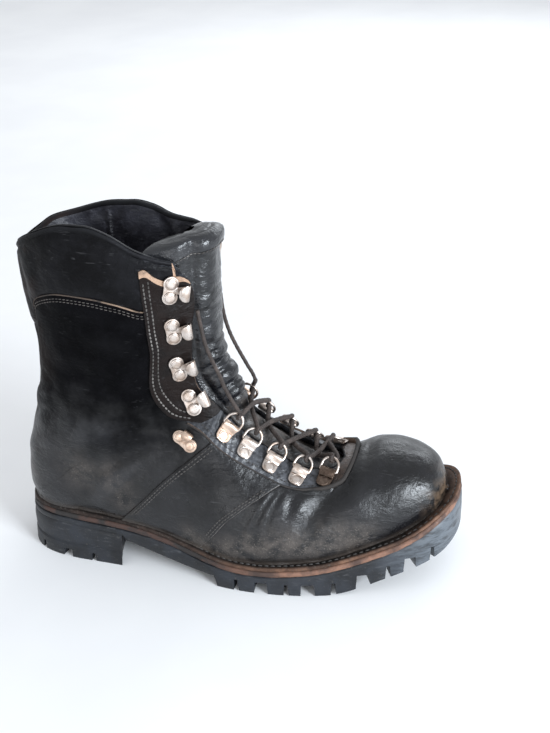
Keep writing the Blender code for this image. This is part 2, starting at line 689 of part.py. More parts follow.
def make_tongue():
    """Padded tongue: under the facings at its sides, proud of them in the gap."""
    rows, columns = 18, 11
    grid = np.zeros((rows, columns, 3))
    for i, s in enumerate(np.linspace(TONGUE_START, TONGUE_END, rows)):
        half = math.radians(float(profile(TONGUE_HALF_WIDTH, s)))
        share = np.linspace(-1, 1, columns)
        angle = half * share
        edge = max(float(throat_angle(max(s, THROAT_END + .05))) - math.radians(6.0), 0.02)
        cover = np.clip(np.abs(angle) / edge, 0, 1) ** 2
        padded = np.clip((s - 16.6) / 0.8, 0, 1) * np.clip((np.abs(angle) - 0.6) / 0.3, 0, 1)
        depth_under = WALL + (COLLAR_WALL - WALL) * padded + 1.6
        if s < THROAT_END + .3:
            rise = np.full(columns, -depth_under.max() - 1.0)
        else:
            rise = float(profile(TONGUE_RISE, s)) * (1 - cover) - depth_under * cover
        # the top edge falls away on the medial side
        fall = np.where(share < 0, 0.9 * share**2 / (np.abs(share) + 0.15), -0.1 * share**2)
        section = np.full(columns, s) - np.clip((s - 15.5) / 2.2, 0, 1) * fall
        point, normal = last_point(section, angle), last_normal(section, angle)
        grid[i] = point + normal * rise[:, None]
    return shell("tongue", grid, TONGUE_THICK, 1, BLACK_LEATHER)


# ---- hardware ------------------------------------------------------------------------------
def place_on_last(x, z, side):
    """Section number and angle of the surface point seen at (x, z) from one side."""
    s, angle = np.meshgrid(np.linspace(5, 19, 141), np.linspace(0.1, 2.0, 96), indexing="ij")
    span_s, span_a = 0.1, 0.02
    best = None
    for _ in range(3):
        point = last_point(s, side * angle)
        miss = (point[..., 0] - x) ** 2 + (point[..., 2] - z) ** 2
        k = np.unravel_index(int(np.argmin(miss)), miss.shape)
        best = (float(s[k]), float(angle[k]))
        s, angle = np.meshgrid(best[0] + np.linspace(-span_s, span_s, 21),
                               best[1] + np.linspace(-span_a, span_a, 21), indexing="ij")
        span_s, span_a = span_s / 10, span_a / 10
    return best[0], side * best[1]


def surface_frame(s, angle, lift, turn=0.0):
    """Matrix on the surface: x toward the throat, y up along the boot, z outward; then a turn in it."""
    s, angle = np.array(s), np.array(angle)
    point, normal = last_point(s, angle), last_normal(s, angle)
    toward = last_point(s, angle - np.sign(angle) * 0.03) - point
    toward -= normal * toward.dot(normal)
    toward /= np.linalg.norm(toward)
    up = np.cross(normal, toward)
    up *= np.sign(up[2])
    frame = np.eye(4)
    frame[:3] = np.stack([toward, up, normal, point + normal * lift], -1)
    return Matrix(frame) @ Matrix.Rotation(math.radians(turn), 4, "Z")


def placed(frame, points):
    return np.array([frame @ Vector(point) for point in points])


def lobed_outline(centers, radius, sides=7):
    """Outline of a plate with a round lobe at each of two centres."""
    (ax, ay), (bx, by) = centers
    heading = math.atan2(by - ay, bx - ax)
    points = []
    for (cx, cy), base in (((bx, by), heading), ((ax, ay), heading + math.pi)):
        for k in range(sides):
            turn = base - 1.9 + 3.8 * k / (sides - 1)
            points.append((cx + radius * math.cos(turn), cy + radius * math.sin(turn)))
    return points


SIDEWAYS = Matrix.Rotation(math.pi / 2, 4, "X")      # turns an outline up into the xz plane


def solid(name, build, collection=None):
    """Nickel object whose bmesh is filled in by a function."""
    shape = bmesh.new()
    build(shape)
    return shape_object(name, shape, NICKEL, collection)


def add_across(shape, outline, half_width, shift, frame):
    """Add a side-view outline, extruded across the piece."""
    add_prism(shape, outline, -half_width - shift, half_width - shift, frame @ SIDEWAYS)


def curled_profile(root_x, reach, height, thick):
    """Side view of the folded hook: out along the plate, up, and curled back over itself."""
    outer, inner = [], []
    radius = height / 2
    for k in range(6):
        turn = -math.pi / 2 + math.pi * 1.15 * k / 5
        for line, r in ((outer, radius), (inner, radius - thick)):
            line.append((root_x + reach + r * math.cos(turn), radius + r * math.sin(turn)))
    return [(root_x, 0.0)] + outer + inner[::-1] + [(root_x, thick)]


PLATE_THICK = 1.1
RIVET_RISE = 1.0


def hook_solid(name, frame, centers, lobe, rivet, fold_outline, fold_shift):
    """Two-lobed plate, a rivet head on each lobe, and the folded hook."""
    hook = solid(name, lambda shape: add_prism(shape, lobed_outline(centers, lobe), 0.0, PLATE_THICK,
                                               frame))

    def rivets(shape):
        for center in centers:
            add_disc(shape, frame, center, rivet, 0.4, PLATE_THICK + RIVET_RISE, 8)

    boolean(hook, solid(name + "_rivets", rivets, cutter_collection()), "UNION")
    fold = solid(name + "_fold", lambda shape: add_across(shape, fold_outline, FOLD_HALF_WIDTH,
                                                          fold_shift, frame), cutter_collection())
    boolean(hook, fold, "UNION")
    return hook


FOLD_HALF_WIDTH = 3.6
FOLD_HEIGHT = 5.2


def make_speed_hook(name, x, z, turn, extra, side):
    """Speed hook on the stay, its fold at the throat's edge."""
    s, angle = place_on_last(x, z, side)
    frame = surface_frame(s, angle, GAP * 2 + .45 + STAY_THICK + extra, turn)
    return hook_solid(name, frame, ((-1.5, -4.5), (-1.5, 4.5)), 4.8, 3.7,
                      curled_profile(-1.0, 7.6, FOLD_HEIGHT, PLATE_THICK), 0.0)


def make_ankle_hook(name, x, z, turn, side):
    """Turned hook at the ankle, riveted through the quarter."""
    s, angle = place_on_last(x, z, side)
    frame = surface_frame(s, angle, GAP + .35, turn)
    return hook_solid(name, frame, ((0.0, -4.4), (0.0, 4.4)), 4.2, 3.3,
                      curled_profile(-0.5, 5.4, FOLD_HEIGHT, PLATE_THICK), 0.6)


def clip_frame(number, side):
    s = CLIP_SECTIONS[number]
    angle = float(throat_angle(s)) + math.radians(CLIP_ANGLE_BEYOND_THROAT)
    frame = surface_frame(s, side * angle, GAP + .3)
    return frame @ Matrix.Rotation(-CLIP_TURN, 4, "Z")


CLIP_HALF_WIDTH = 4.6
CLIP_LENGTH = 9.5
CLIP_TURN = math.radians(14)     # rings lean toward the toe
CLIP_FOLD_RADIUS = 2.4      # outside of the fold round the ring's bar
CLIP_FOLD_X = 2.6           # the bar's distance from the clip's middle
RING_TILT = math.radians(24)


def fold_arc(radius, count=6):
    """Points round the ring's bar, from under it over the top."""
    return [(CLIP_FOLD_X + radius * math.cos(turn), CLIP_FOLD_RADIUS + radius * math.sin(turn))
            for turn in np.linspace(-math.pi / 2, math.pi * 0.85, count)]


def make_clip(name, number, side):
    """Plate folded round the ring's bar, with a round end and a rivet head on it."""
    frame = clip_frame(number, side)
    thick = 1.0
    outline = [(-CLIP_LENGTH, 0.0)] + fold_arc(CLIP_FOLD_RADIUS)
    outline += fold_arc(CLIP_FOLD_RADIUS - thick)[::-1] + [(-CLIP_LENGTH, thick)]
    clip = solid(name, lambda shape: add_across(shape, outline, CLIP_HALF_WIDTH, 0.0, frame))
    half, end = CLIP_HALF_WIDTH, CLIP_HALF_WIDTH - CLIP_LENGTH
    plan = [(end - half * math.sin(turn), -half * math.cos(turn))
            for turn in np.linspace(0, math.pi, 7)]
    plan = [(8.0, -half - .5)] + plan + [(8.0, half + .5)]
    boolean(clip, solid(name + "_plan", lambda shape: add_prism(shape, plan, -1.0, 8.0, frame),
                        cutter_collection()), "INTERSECT")
    boolean(clip, solid(name + "_rivet", lambda shape: add_disc(shape, frame, (-4.6, 0), 3.2, .4, 1.9, 7),
                        cutter_collection()), "UNION")
    return clip


def make_ring(name, number, side):
    """D-shaped ring whose straight bar lies in the clip's fold."""
    frame = clip_frame(number, side)
    half = RING_WIDTH / 2 - RING_WIRE / 2
    path = [(0.0, -half), (0.0, half)]
    for turn in np.radians(np.linspace(80, -80, 7)):
        path.append((RING_REACH - half + half * math.cos(turn), half * math.sin(turn)))
    lifted = [(CLIP_FOLD_X + u * math.cos(RING_TILT), v, CLIP_FOLD_RADIUS + u * math.sin(RING_TILT))
              for u, v in path]
    curve = cord_curve(name, placed(frame, lifted), RING_WIRE, 1, closed=True)
    return add_object(name, curve, NICKEL)


# ---- laces ---------------------------------------------------------------------------------
def lace_anchor(number, side, out=0.5, lift=3.4):
    """Where a lace turns, just past the free end of a ring toward the middle."""
    frame = clip_frame(number, side)
    u = RING_REACH + RING_WIRE / 2 + LACE_DIAMETER / 2 + out
    return placed(frame, [(CLIP_FOLD_X + u * math.cos(RING_TILT), 0, lift + u * math.sin(RING_TILT))])[0]


def strand(first_side):
    """One lace strand from the lowest ring pair to the top one, changing side each time."""
    side = first_side
    points = []
    for number in range(len(CLIP_SECTIONS) - 1, -1, -1):
        points.append(lace_anchor(number, side))
        side = -side
    return np.array(points)


def rounded(points, per_span=3, crossing_lift=0.0):
    """Path with softened turns, each span lifted a little at its middle."""
    points = np.asarray(points, float)
    path = []
    for a, b in zip(points, points[1:]):
        for k in range(per_span):
            t = k / per_span
            hump = math.sin(math.pi * t)
            path.append(a + (b - a) * t + np.array([0.35, 0, 0.94]) * crossing_lift * hump)
    path.append(points[-1])
    return np.array(path)


def make_lace_crossings():
    """Both strands of the criss-cross, joined where they cross."""
    lower, upper = rounded(strand(1), 3, 0.4), rounded(strand(-1), 3, 2.4)
    laces = cord_mesh("lace_crossings", lower, LACE_DIAMETER, 1)
    over = cord_mesh("lace_crossings_over", upper, LACE_DIAMETER, 1, cutter_collection())
    boolean(laces, over, "UNION")
    return laces


# Routes of the two free ends: (section number, degrees from the front line, height over the last)
LACE_END_LATERAL = ((8.9, 19.0, 10.5), (9.2, 19.5, 11.0), (9.7, 19.5, 11.5), (10.4, 18.5, 12.0),
                    (11.2, 17.5, 12.5), (12.2, 17.0, 12.0), (13.2, 18.5, 9.5), (14.2, 21.5, 6.8),
                    (15.0, 24.5, 4.0), (15.5, 25.5, 2.6))
LACE_END_MEDIAL = ((9.1, -15.6, 12.2), (9.4, -15.5, 13.0), (9.8, -14.5, 13.3), (10.4, -13.0, 12.8),
                   (11.2, -12.5, 11.8), (12.2, -14.0, 10.4), (13.2, -17.5, 8.6), (14.2, -21.5, 6.4),
                   (15.0, -24.5, 4.0), (15.5, -25.5, 2.6))


def lace_end(name, stations):
    """A free lace end as a tube curve."""
    rows = np.array(stations, float)
    angle = np.radians(rows[:, 1])
    path = last_point(rows[:, 0], angle) + last_normal(rows[:, 0], angle) * rows[:, 2:3]
    run = np.r_[0, np.cumsum(np.linalg.norm(np.diff(path, axis=0), axis=1))]
    count = int(run[-1] / (LACE_END_DIAMETER * 2.4)) + 1
    even = np.linspace(0, run[-1], count)
    path = np.stack([profile(np.c_[run, path[:, k]], even) for k in range(3)], -1)
    return add_object(name, cord_curve(name, path, LACE_END_DIAMETER, 2), LACE_CORD)


# ---- assembly ------------------------------------------------------------------------------
def finish(things, length_reference):
    """Centre the boot's footprint on the origin by moving every object alike."""
    corners = np.array([thing.matrix_world @ Vector(corner)
                        for thing in length_reference for corner in thing.bound_box])
    low, high = corners.min(0), corners.max(0)
    shift = Vector((-(low[0] + high[0]) / 2, -(low[1] + high[1]) / 2, -low[2]))
    for thing in things:
        thing.location = shift


def build():
    for thing in list(bpy.data.objects):
        bpy.data.objects.remove(thing, do_unlink=True)
    bpy.context.scene.unit_settings.system = "METRIC"
    sole = [make_outsole(), make_heel(), make_midsole(), make_welt(), make_insole()]
    make_upper()
    make_tongue()
    for side, label in ((1, "lateral"), (-1, "medial")):
        make_stay(side, "stay_" + label)
        for number, (x, z, turn, extra) in enumerate(HOOK_PLACES, 1):
            make_speed_hook(f"hook_{label}_{number}", x, z, turn, extra, side)
        make_ankle_hook("ankle_hook_" + label, *ANKLE_HOOK_PLACE, side)
        for number in range(len(CLIP_SECTIONS)):
            make_clip(f"clip_{label}_{number + 1}", number, side)
            make_ring(f"ring_{label}_{number + 1}", number, side)
    make_lace_crossings()
    lace_end("lace_end_lateral", LACE_END_LATERAL)
    lace_end("lace_end_medial", LACE_END_MEDIAL)
    finish(list(bpy.data.objects), sole)


build()
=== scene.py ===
"""Looks of the work boot: leather upper with its creases and seams, padded collar and tongue,
hardware, laces and lugged sole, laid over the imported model.

Shapes are worked out in the boot's own modelling frame, in millimetres (x from heel to toe,
y to the inner side, z up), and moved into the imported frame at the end.
"""
import math

import bmesh
import bpy
import numpy as np
from mathutils import Matrix, Vector, noise


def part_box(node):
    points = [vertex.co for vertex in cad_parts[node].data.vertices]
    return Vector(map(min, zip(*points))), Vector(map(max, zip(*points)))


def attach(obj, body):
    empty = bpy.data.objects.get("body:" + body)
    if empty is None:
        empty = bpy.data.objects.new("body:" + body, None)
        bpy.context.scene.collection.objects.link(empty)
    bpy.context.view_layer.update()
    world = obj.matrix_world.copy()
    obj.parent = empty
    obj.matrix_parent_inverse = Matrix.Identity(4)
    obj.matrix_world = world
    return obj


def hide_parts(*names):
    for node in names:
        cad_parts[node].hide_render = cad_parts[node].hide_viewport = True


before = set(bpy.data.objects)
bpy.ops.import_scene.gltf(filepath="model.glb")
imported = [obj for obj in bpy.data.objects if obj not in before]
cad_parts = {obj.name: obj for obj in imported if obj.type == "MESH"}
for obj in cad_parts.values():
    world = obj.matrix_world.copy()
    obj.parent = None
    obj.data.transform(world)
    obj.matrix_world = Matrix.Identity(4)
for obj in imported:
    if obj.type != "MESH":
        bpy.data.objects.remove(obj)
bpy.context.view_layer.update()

MM = 0.001
GAP = 0.3                   # clearance between neighbouring pieces


# ---- driving dimensions, mm --------------------------------------------------------------
WALL = 2.6                  # upper leather with its lining
COLLAR_WALL = 5.5           # padded collar panel
STAY_THICK = 1.8            # reinforcing strip under the speed hooks
TONGUE_THICK = 4.0
INSOLE_THICK = 4.0
WELT_THICK = 3.0
MIDSOLE_THICK = 4.0
HEEL_PLATE = 4.2            # outsole running on over the heel block
LUG_DEPTH = 9.0
HEEL_BREAST_X = 86.0        # front face of the heel block
TREAD_START_X = 154.0       # first forefoot lug
LACE_DIAMETER = 3.4
LACE_END_DIAMETER = 2.5

# The last as a fan of sections, from the toe tip over the instep to the collar.  Each row has
# the section's low point and high point on the middle line, half widths to both sides, the
# middle line's place across, roundness exponents of the low and high ends, and the belly.
LAST_COLUMNS = ("low_x", "low_z", "high_x", "high_z", "lateral", "medial", "mid_y",
                "low_round", "high_round", "belly")
LAST_SECTIONS = {
    "toe_tip":     (301, 55, 300, 64,  6,  6,  9.0, .50, .90, .45),
    "toe_front":   (298, 46, 296, 72, 18, 18,  9.0, .45, .85, .45),
    "toe_box":     (291, 38, 288, 78, 27, 27, 10.0, .40, .80, .42),
    "toe_crown":   (278, 31, 274, 82, 36, 36, 10.0, .36, .78, .40),
    "toe_cap":     (261, 26, 256, 82, 42, 42,  8.0, .33, .78, .38),
    "vamp":        (240, 20, 236, 77, 46, 46,  4.0, .30, .80, .35),
    "ball":        (216, 15, 212, 79, 49, 49,  0.0, .30, .85, .32),
    "low_instep":  (189, 12, 188, 93, 52, 46, -1.0, .32, .90, .30),
    "instep":      (162, 13, 171, 108, 51, 42, -2.5, .35, .95, .30),
    "waist":       (133, 19, 163, 120, 46, 38, -3.5, .38, .95, .32),
    "arch":        (103, 26, 158, 131, 42, 36, -4.5, .42, .90, .34),
    "seat":        (66, 28, 155, 141, 39, 36, -5.0, .50, .85, .34),
    "heel_under":  (34, 26, 153, 150, 37, 36, -5.5, .62, .80, .36),
    "heel_corner": (15, 36, 152, 160, 37, 36, -6.0, .75, .78, .40),
    "heel_back":   (10, 60, 151, 172, 38, 37, -6.0, .80, .76, .45),
    "achilles":    (22, 110, 151, 190, 39, 38, -5.0, .78, .72, .50),
    "ankle":       (28, 146, 151, 207, 41, 40, -4.0, .74, .72, .52),
    "shaft":       (27, 184, 151, 229, 43, 42, -3.0, .74, .72, .52),
    "collar":      (23, 224, 152, 250, 44, 43, -2.0, .74, .72, .52),
    "collar_top":  (19, 262, 152, 270, 44, 43, -2.0, .74, .72, .52),
}
LAST = np.array(list(LAST_SECTIONS.values()), float)
SECTION = {name: number for number, name in enumerate(LAST_SECTIONS)}

# Height of the feather line, where the upper meets the sole: (x, z)
FEATHER_PROFILE = ((-15, 38), (40, 39.5), (68, 38), (92, 36), (121, 31), (144, 25), (163, 21.5),
                   (181, 20.5), (205, 22), (228, 25), (251, 31), (273, 38.5), (288, 46), (300, 54),
                   (311, 61), (322, 67))
# Underside of the tread, on the floor up to the ball and then sprung to the toe: (x, z)
TREAD_PROFILE = ((-20, 0), (228, 0), (240, 1.5), (252, 5), (266, 10), (280, 15), (292, 19),
                 (303, 24), (312, 30), (322, 37))
# Sole edge outside the feather line: (x, distance)
SOLE_MARGIN = ((0, 5.0), (90, 5.0), (150, 6.5), (235, 8.5), (290, 11.5), (320, 12.5))

# Half opening of the lacing gap as an angle on the section: (section number, degrees)
THROAT_END = 5.15
THROAT_ANGLE = ((THROAT_END, 0.0), (5.25, 8.0), (5.5, 12.5), (6, 15.0), (7, 16.5), (8, 18.5),
                (9, 21.0), (10, 24.0), (11, 26.5), (13, 28.5), (15, 29.0), (18.2, 31.0),
                (18.5, 36.0), (19, 40.5))
# Height of the collar round the leg, by angle from the front: (degrees, z)
COLLAR_PROFILE = ((0, 225), (30, 227), (50, 232), (67, 239), (82, 249), (95, 253.5), (110, 252.5),
                  (130, 245), (150, 236), (165, 229), (180, 225.5))
# how much lower the collar is on the inner side, by the same angle
MEDIAL_COLLAR_DROP = ((0, -2), (30, -2), (45, -0.5), (60, 4.5), (75, 10), (100, 14.5),
                      (130, 10.5), (155, 3), (180, 0))

# Hardware: where each hook sits in the side view, its turn in degrees, and the extra height that
# the hollow of the ankle asks for: (x, z, turn, extra)
HOOK_PLACES = ((134.5, 212.5, -30, 0.0), (133.5, 184.5, -22, 0.0), (133.5, 156.5, -24, 0.2),
               (140, 130, -27, 1.1))
ANKLE_HOOK_PLACE = (135.5, 104, -6)
CLIP_SECTIONS = (8.9, 7.78, 6.93, 6.22, 5.48)   # section numbers, top to bottom
CLIP_ANGLE_BEYOND_THROAT = 8.5      # degrees outside the throat edge
RING_WIRE = 1.8
RING_WIDTH = 13.4
RING_REACH = 9.5


# ---- curves and the last ------------------------------------------------------------------
def unit(vectors):
    return vectors / np.maximum(np.linalg.norm(vectors, axis=-1, keepdims=True), 1e-9)


def smoothstep(value, low, high):
    t = np.clip((np.asarray(value, float) - low) / (high - low), 0, 1)
    return t * t * (3 - 2 * t)


def bell(value, width):
    return np.exp(-(np.asarray(value, float) / width) ** 2)


def run_of(path):
    """Distance along a path at each of its points."""
    return np.r_[0, np.cumsum(np.linalg.norm(np.diff(path, axis=0), axis=1))]


def even_run(path, spacing=None, count=None, closed=False):
    """The same path with evenly spaced points."""
    path = np.asarray(path, float)
    if closed:
        path = np.vstack([path, path[:1]])
    run = run_of(path)
    count = count or max(int(round(run[-1] / spacing)) + 1, 3)
    places = np.linspace(0, run[-1], count + 1)[:-1] if closed else np.linspace(0, run[-1], count)
    return np.stack([np.interp(places, run, path[:, k]) for k in range(path.shape[1])], -1)


def even_line(path, normals, spacing):
    """Evenly spaced points of a line on a surface, with their normals."""
    both = even_run(np.c_[path, normals], spacing=spacing)
    return both[:, :3], unit(both[:, 3:])


def profile(table, at):
    """Value of a (position, value) table by a smooth curve through its rows."""
    places, values = np.array(table, float).T
    at = np.clip(np.asarray(at, float), places[0], places[-1])
    slopes = np.diff(values) / np.diff(places)
    tangents = np.r_[slopes[0], (slopes[:-1] + slopes[1:]) / 2, slopes[-1]]
    flat = np.r_[False, slopes[:-1] * slopes[1:] <= 0, False]
    tangents[flat] = 0.0
    i = np.clip(np.searchsorted(places, at, side="right") - 1, 0, len(places) - 2)
    span = places[i + 1] - places[i]
    t = (at - places[i]) / span
    return ((2 * t**3 - 3 * t**2 + 1) * values[i] + (t**3 - 2 * t**2 + t) * span * tangents[i]
            + (3 * t**2 - 2 * t**3) * values[i + 1] + (t**3 - t**2) * span * tangents[i + 1])


def section_row(s):
    """The last's row at section number s, by a Catmull-Rom curve through the rows."""
    last_row = len(LAST) - 1
    s = np.clip(np.asarray(s, float), 0, last_row - 1e-9)
    i = np.floor(s).astype(int)
    t = (s - i)[..., None]
    before, start = LAST[np.maximum(i - 1, 0)], LAST[i]
    end, after = LAST[np.minimum(i + 1, last_row)], LAST[np.minimum(i + 2, last_row)]
    return 0.5 * (2 * start + (end - before) * t + (2 * before - 5 * start + 4 * end - after) * t**2
                  + (3 * start - before - 3 * end + after) * t**3)


def last_point(s, angle):
    """Point on the last.  angle is 0 on the top or front line and +-pi on the bottom or back
    line; positive angles lie on the lateral side."""
    s, angle = np.broadcast_arrays(np.asarray(s, float), np.asarray(angle, float))
    (low_x, low_z, high_x, high_z, lateral, medial, mid_y,
     low_round, high_round, belly) = np.moveaxis(section_row(s), -1, 0)
    turn = np.abs(angle)
    rise = ((1 + np.cos(turn)) / 2) ** (np.log(belly) / np.log(0.5))
    toward_low = 1 / (1 + np.exp(-4 * (turn - np.pi / 2)))
    roundness = high_round * (1 - toward_low) + low_round * toward_low
    width = np.where(angle >= 0, lateral, medial) * np.clip(np.sin(turn), 0, 1) ** roundness
    return np.stack([low_x + (high_x - low_x) * rise, mid_y - np.where(angle >= 0, width, -width),
                     low_z + (high_z - low_z) * rise], -1)


def last_normal(s, angle, step=0.02):
    """Outward unit normal of the last."""
    s, angle = np.broadcast_arrays(np.asarray(s, float), np.asarray(angle, float))
    turn = np.clip(np.abs(angle), 0.03, np.pi - 0.03) * np.where(angle >= 0, 1, -1)
    along = last_point(s + step, turn) - last_point(s - step, turn)
    across = last_point(s, turn + step) - last_point(s, turn - step)
    normal = np.cross(along, across)
    middle = (np.abs(angle) < 0.03) | (np.abs(angle) > np.pi - 0.03)
    normal[..., 1] = np.where(middle, 0.0, normal[..., 1])
    return unit(normal)


def raised(s, angle, height):
    """Point at a height in mm over the last."""
    return last_point(s, angle) + last_normal(s, angle) * np.asarray(height)[..., None]


def feather_z(x):
    return profile(FEATHER_PROFILE, x)


def solve(function, low, high, steps=40):
    """Root of function between the arrays low (value > 0) and high (value <= 0)."""
    low, high = np.array(low, float), np.array(high, float)
    for _ in range(steps):
        middle = (low + high) / 2
        above = function(middle) > 0
        low, high = np.where(above, middle, low), np.where(above, high, middle)
    return (low + high) / 2


def feather_angle(s, side, lift=0.0):
    """Angle at which section s comes down to the feather line on one side (+1 lateral)."""
    s = np.asarray(s, float)

    def above(angle):
        point = last_point(s, side * angle)
        return point[..., 2] - feather_z(point[..., 0]) - lift

    return solve(above, np.full(s.shape, 0.2), np.full(s.shape, np.pi))


def back_start(lift):
    """Section number at which the back line leaves the feather line."""
    def below(s):
        point = last_point(s, np.full(np.shape(s), np.pi))
        return feather_z(point[..., 0]) + lift - point[..., 2]

    return float(solve(below, SECTION["heel_under"], SECTION["heel_back"]))


BACK_START = back_start(GAP)


def collar_section(angle):
    """Section number of the collar's edge at an angle."""
    angle = np.asarray(angle, float)
    height = profile(COLLAR_PROFILE, np.degrees(np.abs(angle)))
    height = height - np.where(angle < 0, profile(MEDIAL_COLLAR_DROP, np.degrees(np.abs(angle))), 0.0)
    return solve(lambda s: height - last_point(s, angle)[..., 2],
                 np.full(angle.shape, SECTION["ankle"] - 1.0), np.full(angle.shape, 18.99))


def throat_angle(s):
    return np.radians(profile(THROAT_ANGLE, s)) * (np.asarray(s) > THROAT_END)


def feather_loop(count=240):
    """The feather line in plan as a closed, evenly spaced loop from the back centre round the
    lateral side, the toe and the medial side, with outward normals."""
    s = np.linspace(0.0, BACK_START, 400)[::-1]
    lateral = last_point(s, feather_angle(s, 1))[:, :2]
    medial = last_point(s[::-1], -feather_angle(s[::-1], -1))[:, :2]
    points = even_run(np.vstack([lateral, medial]), count=count, closed=True)
    for _ in range(6):
        points = (np.roll(points, 1, 0) + 2 * points + np.roll(points, -1, 0)) / 4
    tangent = np.roll(points, -1, 0) - np.roll(points, 1, 0)
    normal = unit(np.stack([tangent[:, 1], -tangent[:, 0]], -1))
    if np.sum(normal * (points - points.mean(0))) < 0:
        normal = -normal
    return points, normal


FEATHER_LOOP, FEATHER_NORMAL = feather_loop()


def sole_loop(grow=0.0):
    """Outline of the sole edge in plan, grown outward by a distance."""
    margin = profile(SOLE_MARGIN, FEATHER_LOOP[:, 0]) + grow
    return FEATHER_LOOP + FEATHER_NORMAL * margin[:, None]


def inner_loop(inset):
    """Outline inside the feather line."""
    return FEATHER_LOOP - FEATHER_NORMAL * inset


def sides_at(loop, x):
    """Lateral and medial y of a loop at each x."""
    tip, back = int(np.argmax(loop[:, 0])), int(np.argmin(loop[:, 0]))
    rolled = np.roll(loop, -back, axis=0)
    tip = (tip - back) % len(loop)
    first, second = rolled[:tip + 1], np.vstack([rolled[tip:], rolled[:1]])[::-1]
    lateral, medial = (first, second) if first[:, 1].mean() < second[:, 1].mean() else (second, first)
    return np.interp(x, lateral[:, 0], lateral[:, 1]), np.interp(x, medial[:, 0], medial[:, 1])


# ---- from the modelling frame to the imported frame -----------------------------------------
SOLE_EDGE = sole_loop(-0.4)
SHIFT = np.array([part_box("outsole")[0][0] / MM - SOLE_EDGE[:, 0].min() - 0.02,
                  -(SOLE_EDGE[:, 1].min() + SOLE_EDGE[:, 1].max()) / 2, 0.0])


def packed(points):
    """Points of the modelling frame, mm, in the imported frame, m."""
    return (np.asarray(points, float) + SHIFT) * MM


def wander(points, scale, seed):
    """Smooth noise between about -1 and 1, with features of a size in mm."""
    offset = Vector((seed * 17.3, seed * 5.1, -seed * 9.7))
    return np.array([noise.noise(Vector(p) / scale + offset) for p in np.asarray(points, float)])


# ---- mesh building ------------------------------------------------------------------------
def linked(name, data):
    """A new object in the scene."""
    thing = bpy.data.objects.new(name, data)
    bpy.context.scene.collection.objects.link(thing)
    return thing


def turn_outward(mesh):
    """Turn all faces of a closed mesh outward."""
    shape = bmesh.new()
    shape.from_mesh(mesh)
    bmesh.ops.recalc_face_normals(shape, faces=shape.faces)
    shape.to_mesh(mesh)
    shape.free()


class Pile:
    """Vertices and faces collected from several shapes, for one piece."""

    def __init__(self):
        self.points, self.faces, self.kinds, self.count = [], [], [], 0
        self.marks = {}

    def add(self, points, faces, kind=0, **marks):
        points = np.asarray(points, float).reshape(-1, 3)
        self.points.append(points)
        for face in faces:
            corners = [int(k) + self.count for n, k in enumerate(face) if k != face[n - 1]]
            self.faces.append(corners)
        self.kinds += list(np.broadcast_to(kind, len(faces)))
        for name, values in marks.items():
            store = self.marks.setdefault(name, np.zeros(0))
            store = np.r_[store, np.zeros(self.count - len(store))]
            self.marks[name] = np.r_[store, np.broadcast_to(np.asarray(values, float).ravel(),
                                                            len(points))]
        self.count += len(points)

    def piece(self, name, slot, materials, nodes=(), sharp=None, outward=False):
        """The finished piece; nodes are the CAD nodes that it stands for."""
        mesh = bpy.data.meshes.new(name)
        mesh.from_pydata(packed(np.vstack(self.points)).tolist(), [], self.faces)
        for mark, values in self.marks.items():
            layer = mesh.attributes.new(mark, "FLOAT", "POINT")
            layer.data.foreach_set("value", np.r_[values, np.zeros(self.count - len(values))]
                                   .astype(np.float32))
        for material in materials if isinstance(materials, (list, tuple)) else [materials]:
            mesh.materials.append(material)
        mesh.polygons.foreach_set("material_index", np.array(self.kinds, np.int32))
        mesh.polygons.foreach_set("use_smooth", np.ones(len(self.faces), bool))
        mesh.validate()
        mesh.update()
        if sharp is not None:
            mesh.set_sharp_from_angle(angle=math.radians(sharp))
        thing = linked(name, mesh)
        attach(thing, "root")
        if nodes:
            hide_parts(*nodes)
        if outward:
            turn_outward(mesh)
        return thing


def grid_faces(rows, columns, round_rows=False, round_columns=False):
    """Quads of a grid of points, optionally closed along either direction."""
    i, j = np.meshgrid(np.arange(rows if round_rows else rows - 1),
                       np.arange(columns if round_columns else columns - 1), indexing="ij")
    i, j = i.ravel(), j.ravel()
    below, beside = (i + 1) % rows, (j + 1) % columns
    return np.stack([i * columns + j, i * columns + beside, below * columns + beside,
                     below * columns + j], -1)


def loop_faces(rows, columns, closed=False, caps=True):
    """Faces of a tube of loops, its ends capped unless it is closed."""
    faces = [tuple(face) for face in grid_faces(rows, columns, closed, True)]
    if caps and not closed:
        faces += [tuple(range(columns))[::-1],
                  tuple(range((rows - 1) * columns, rows * columns))]
    return faces


def spline(points, per_span=8, closed=False):
    """Catmull-Rom curve through the points."""
    points = np.asarray(points, float)
    if closed:
        points = np.vstack([points[-1:], points, points[:2]])
    else:
        points = np.vstack([2 * points[0] - points[1], points, 2 * points[-1] - points[-2]])
    t = np.linspace(0, 1, per_span, endpoint=False)[:, None]
    rows = []
    for a, b, c, d in zip(points, points[1:], points[2:], points[3:]):
        rows.append(0.5 * (2 * b + (c - a) * t + (2 * a - 5 * b + 4 * c - d) * t**2
                           + (3 * b - a - 3 * c + d) * t**3))
    if not closed:
        rows.append(points[-2][None])
    return np.vstack(rows)


def tangents_of(path, closed=False):
    if closed:
        return unit(np.roll(path, -1, 0) - np.roll(path, 1, 0))
    return unit(np.gradient(path, axis=0))


def carried_normals(path, closed=False):
    """Normals carried along a path without twisting."""
    tangents = tangents_of(path, closed)
    normal = np.array([0.0, 0.0, 1.0] if abs(tangents[0][2]) < 0.9 else [0.0, 1.0, 0.0])
    normals = []
    for tangent in tangents:
        normal = normal - tangent * normal.dot(tangent)
        normal = normal / np.linalg.norm(normal)
        normals.append(normal)
    return np.array(normals)


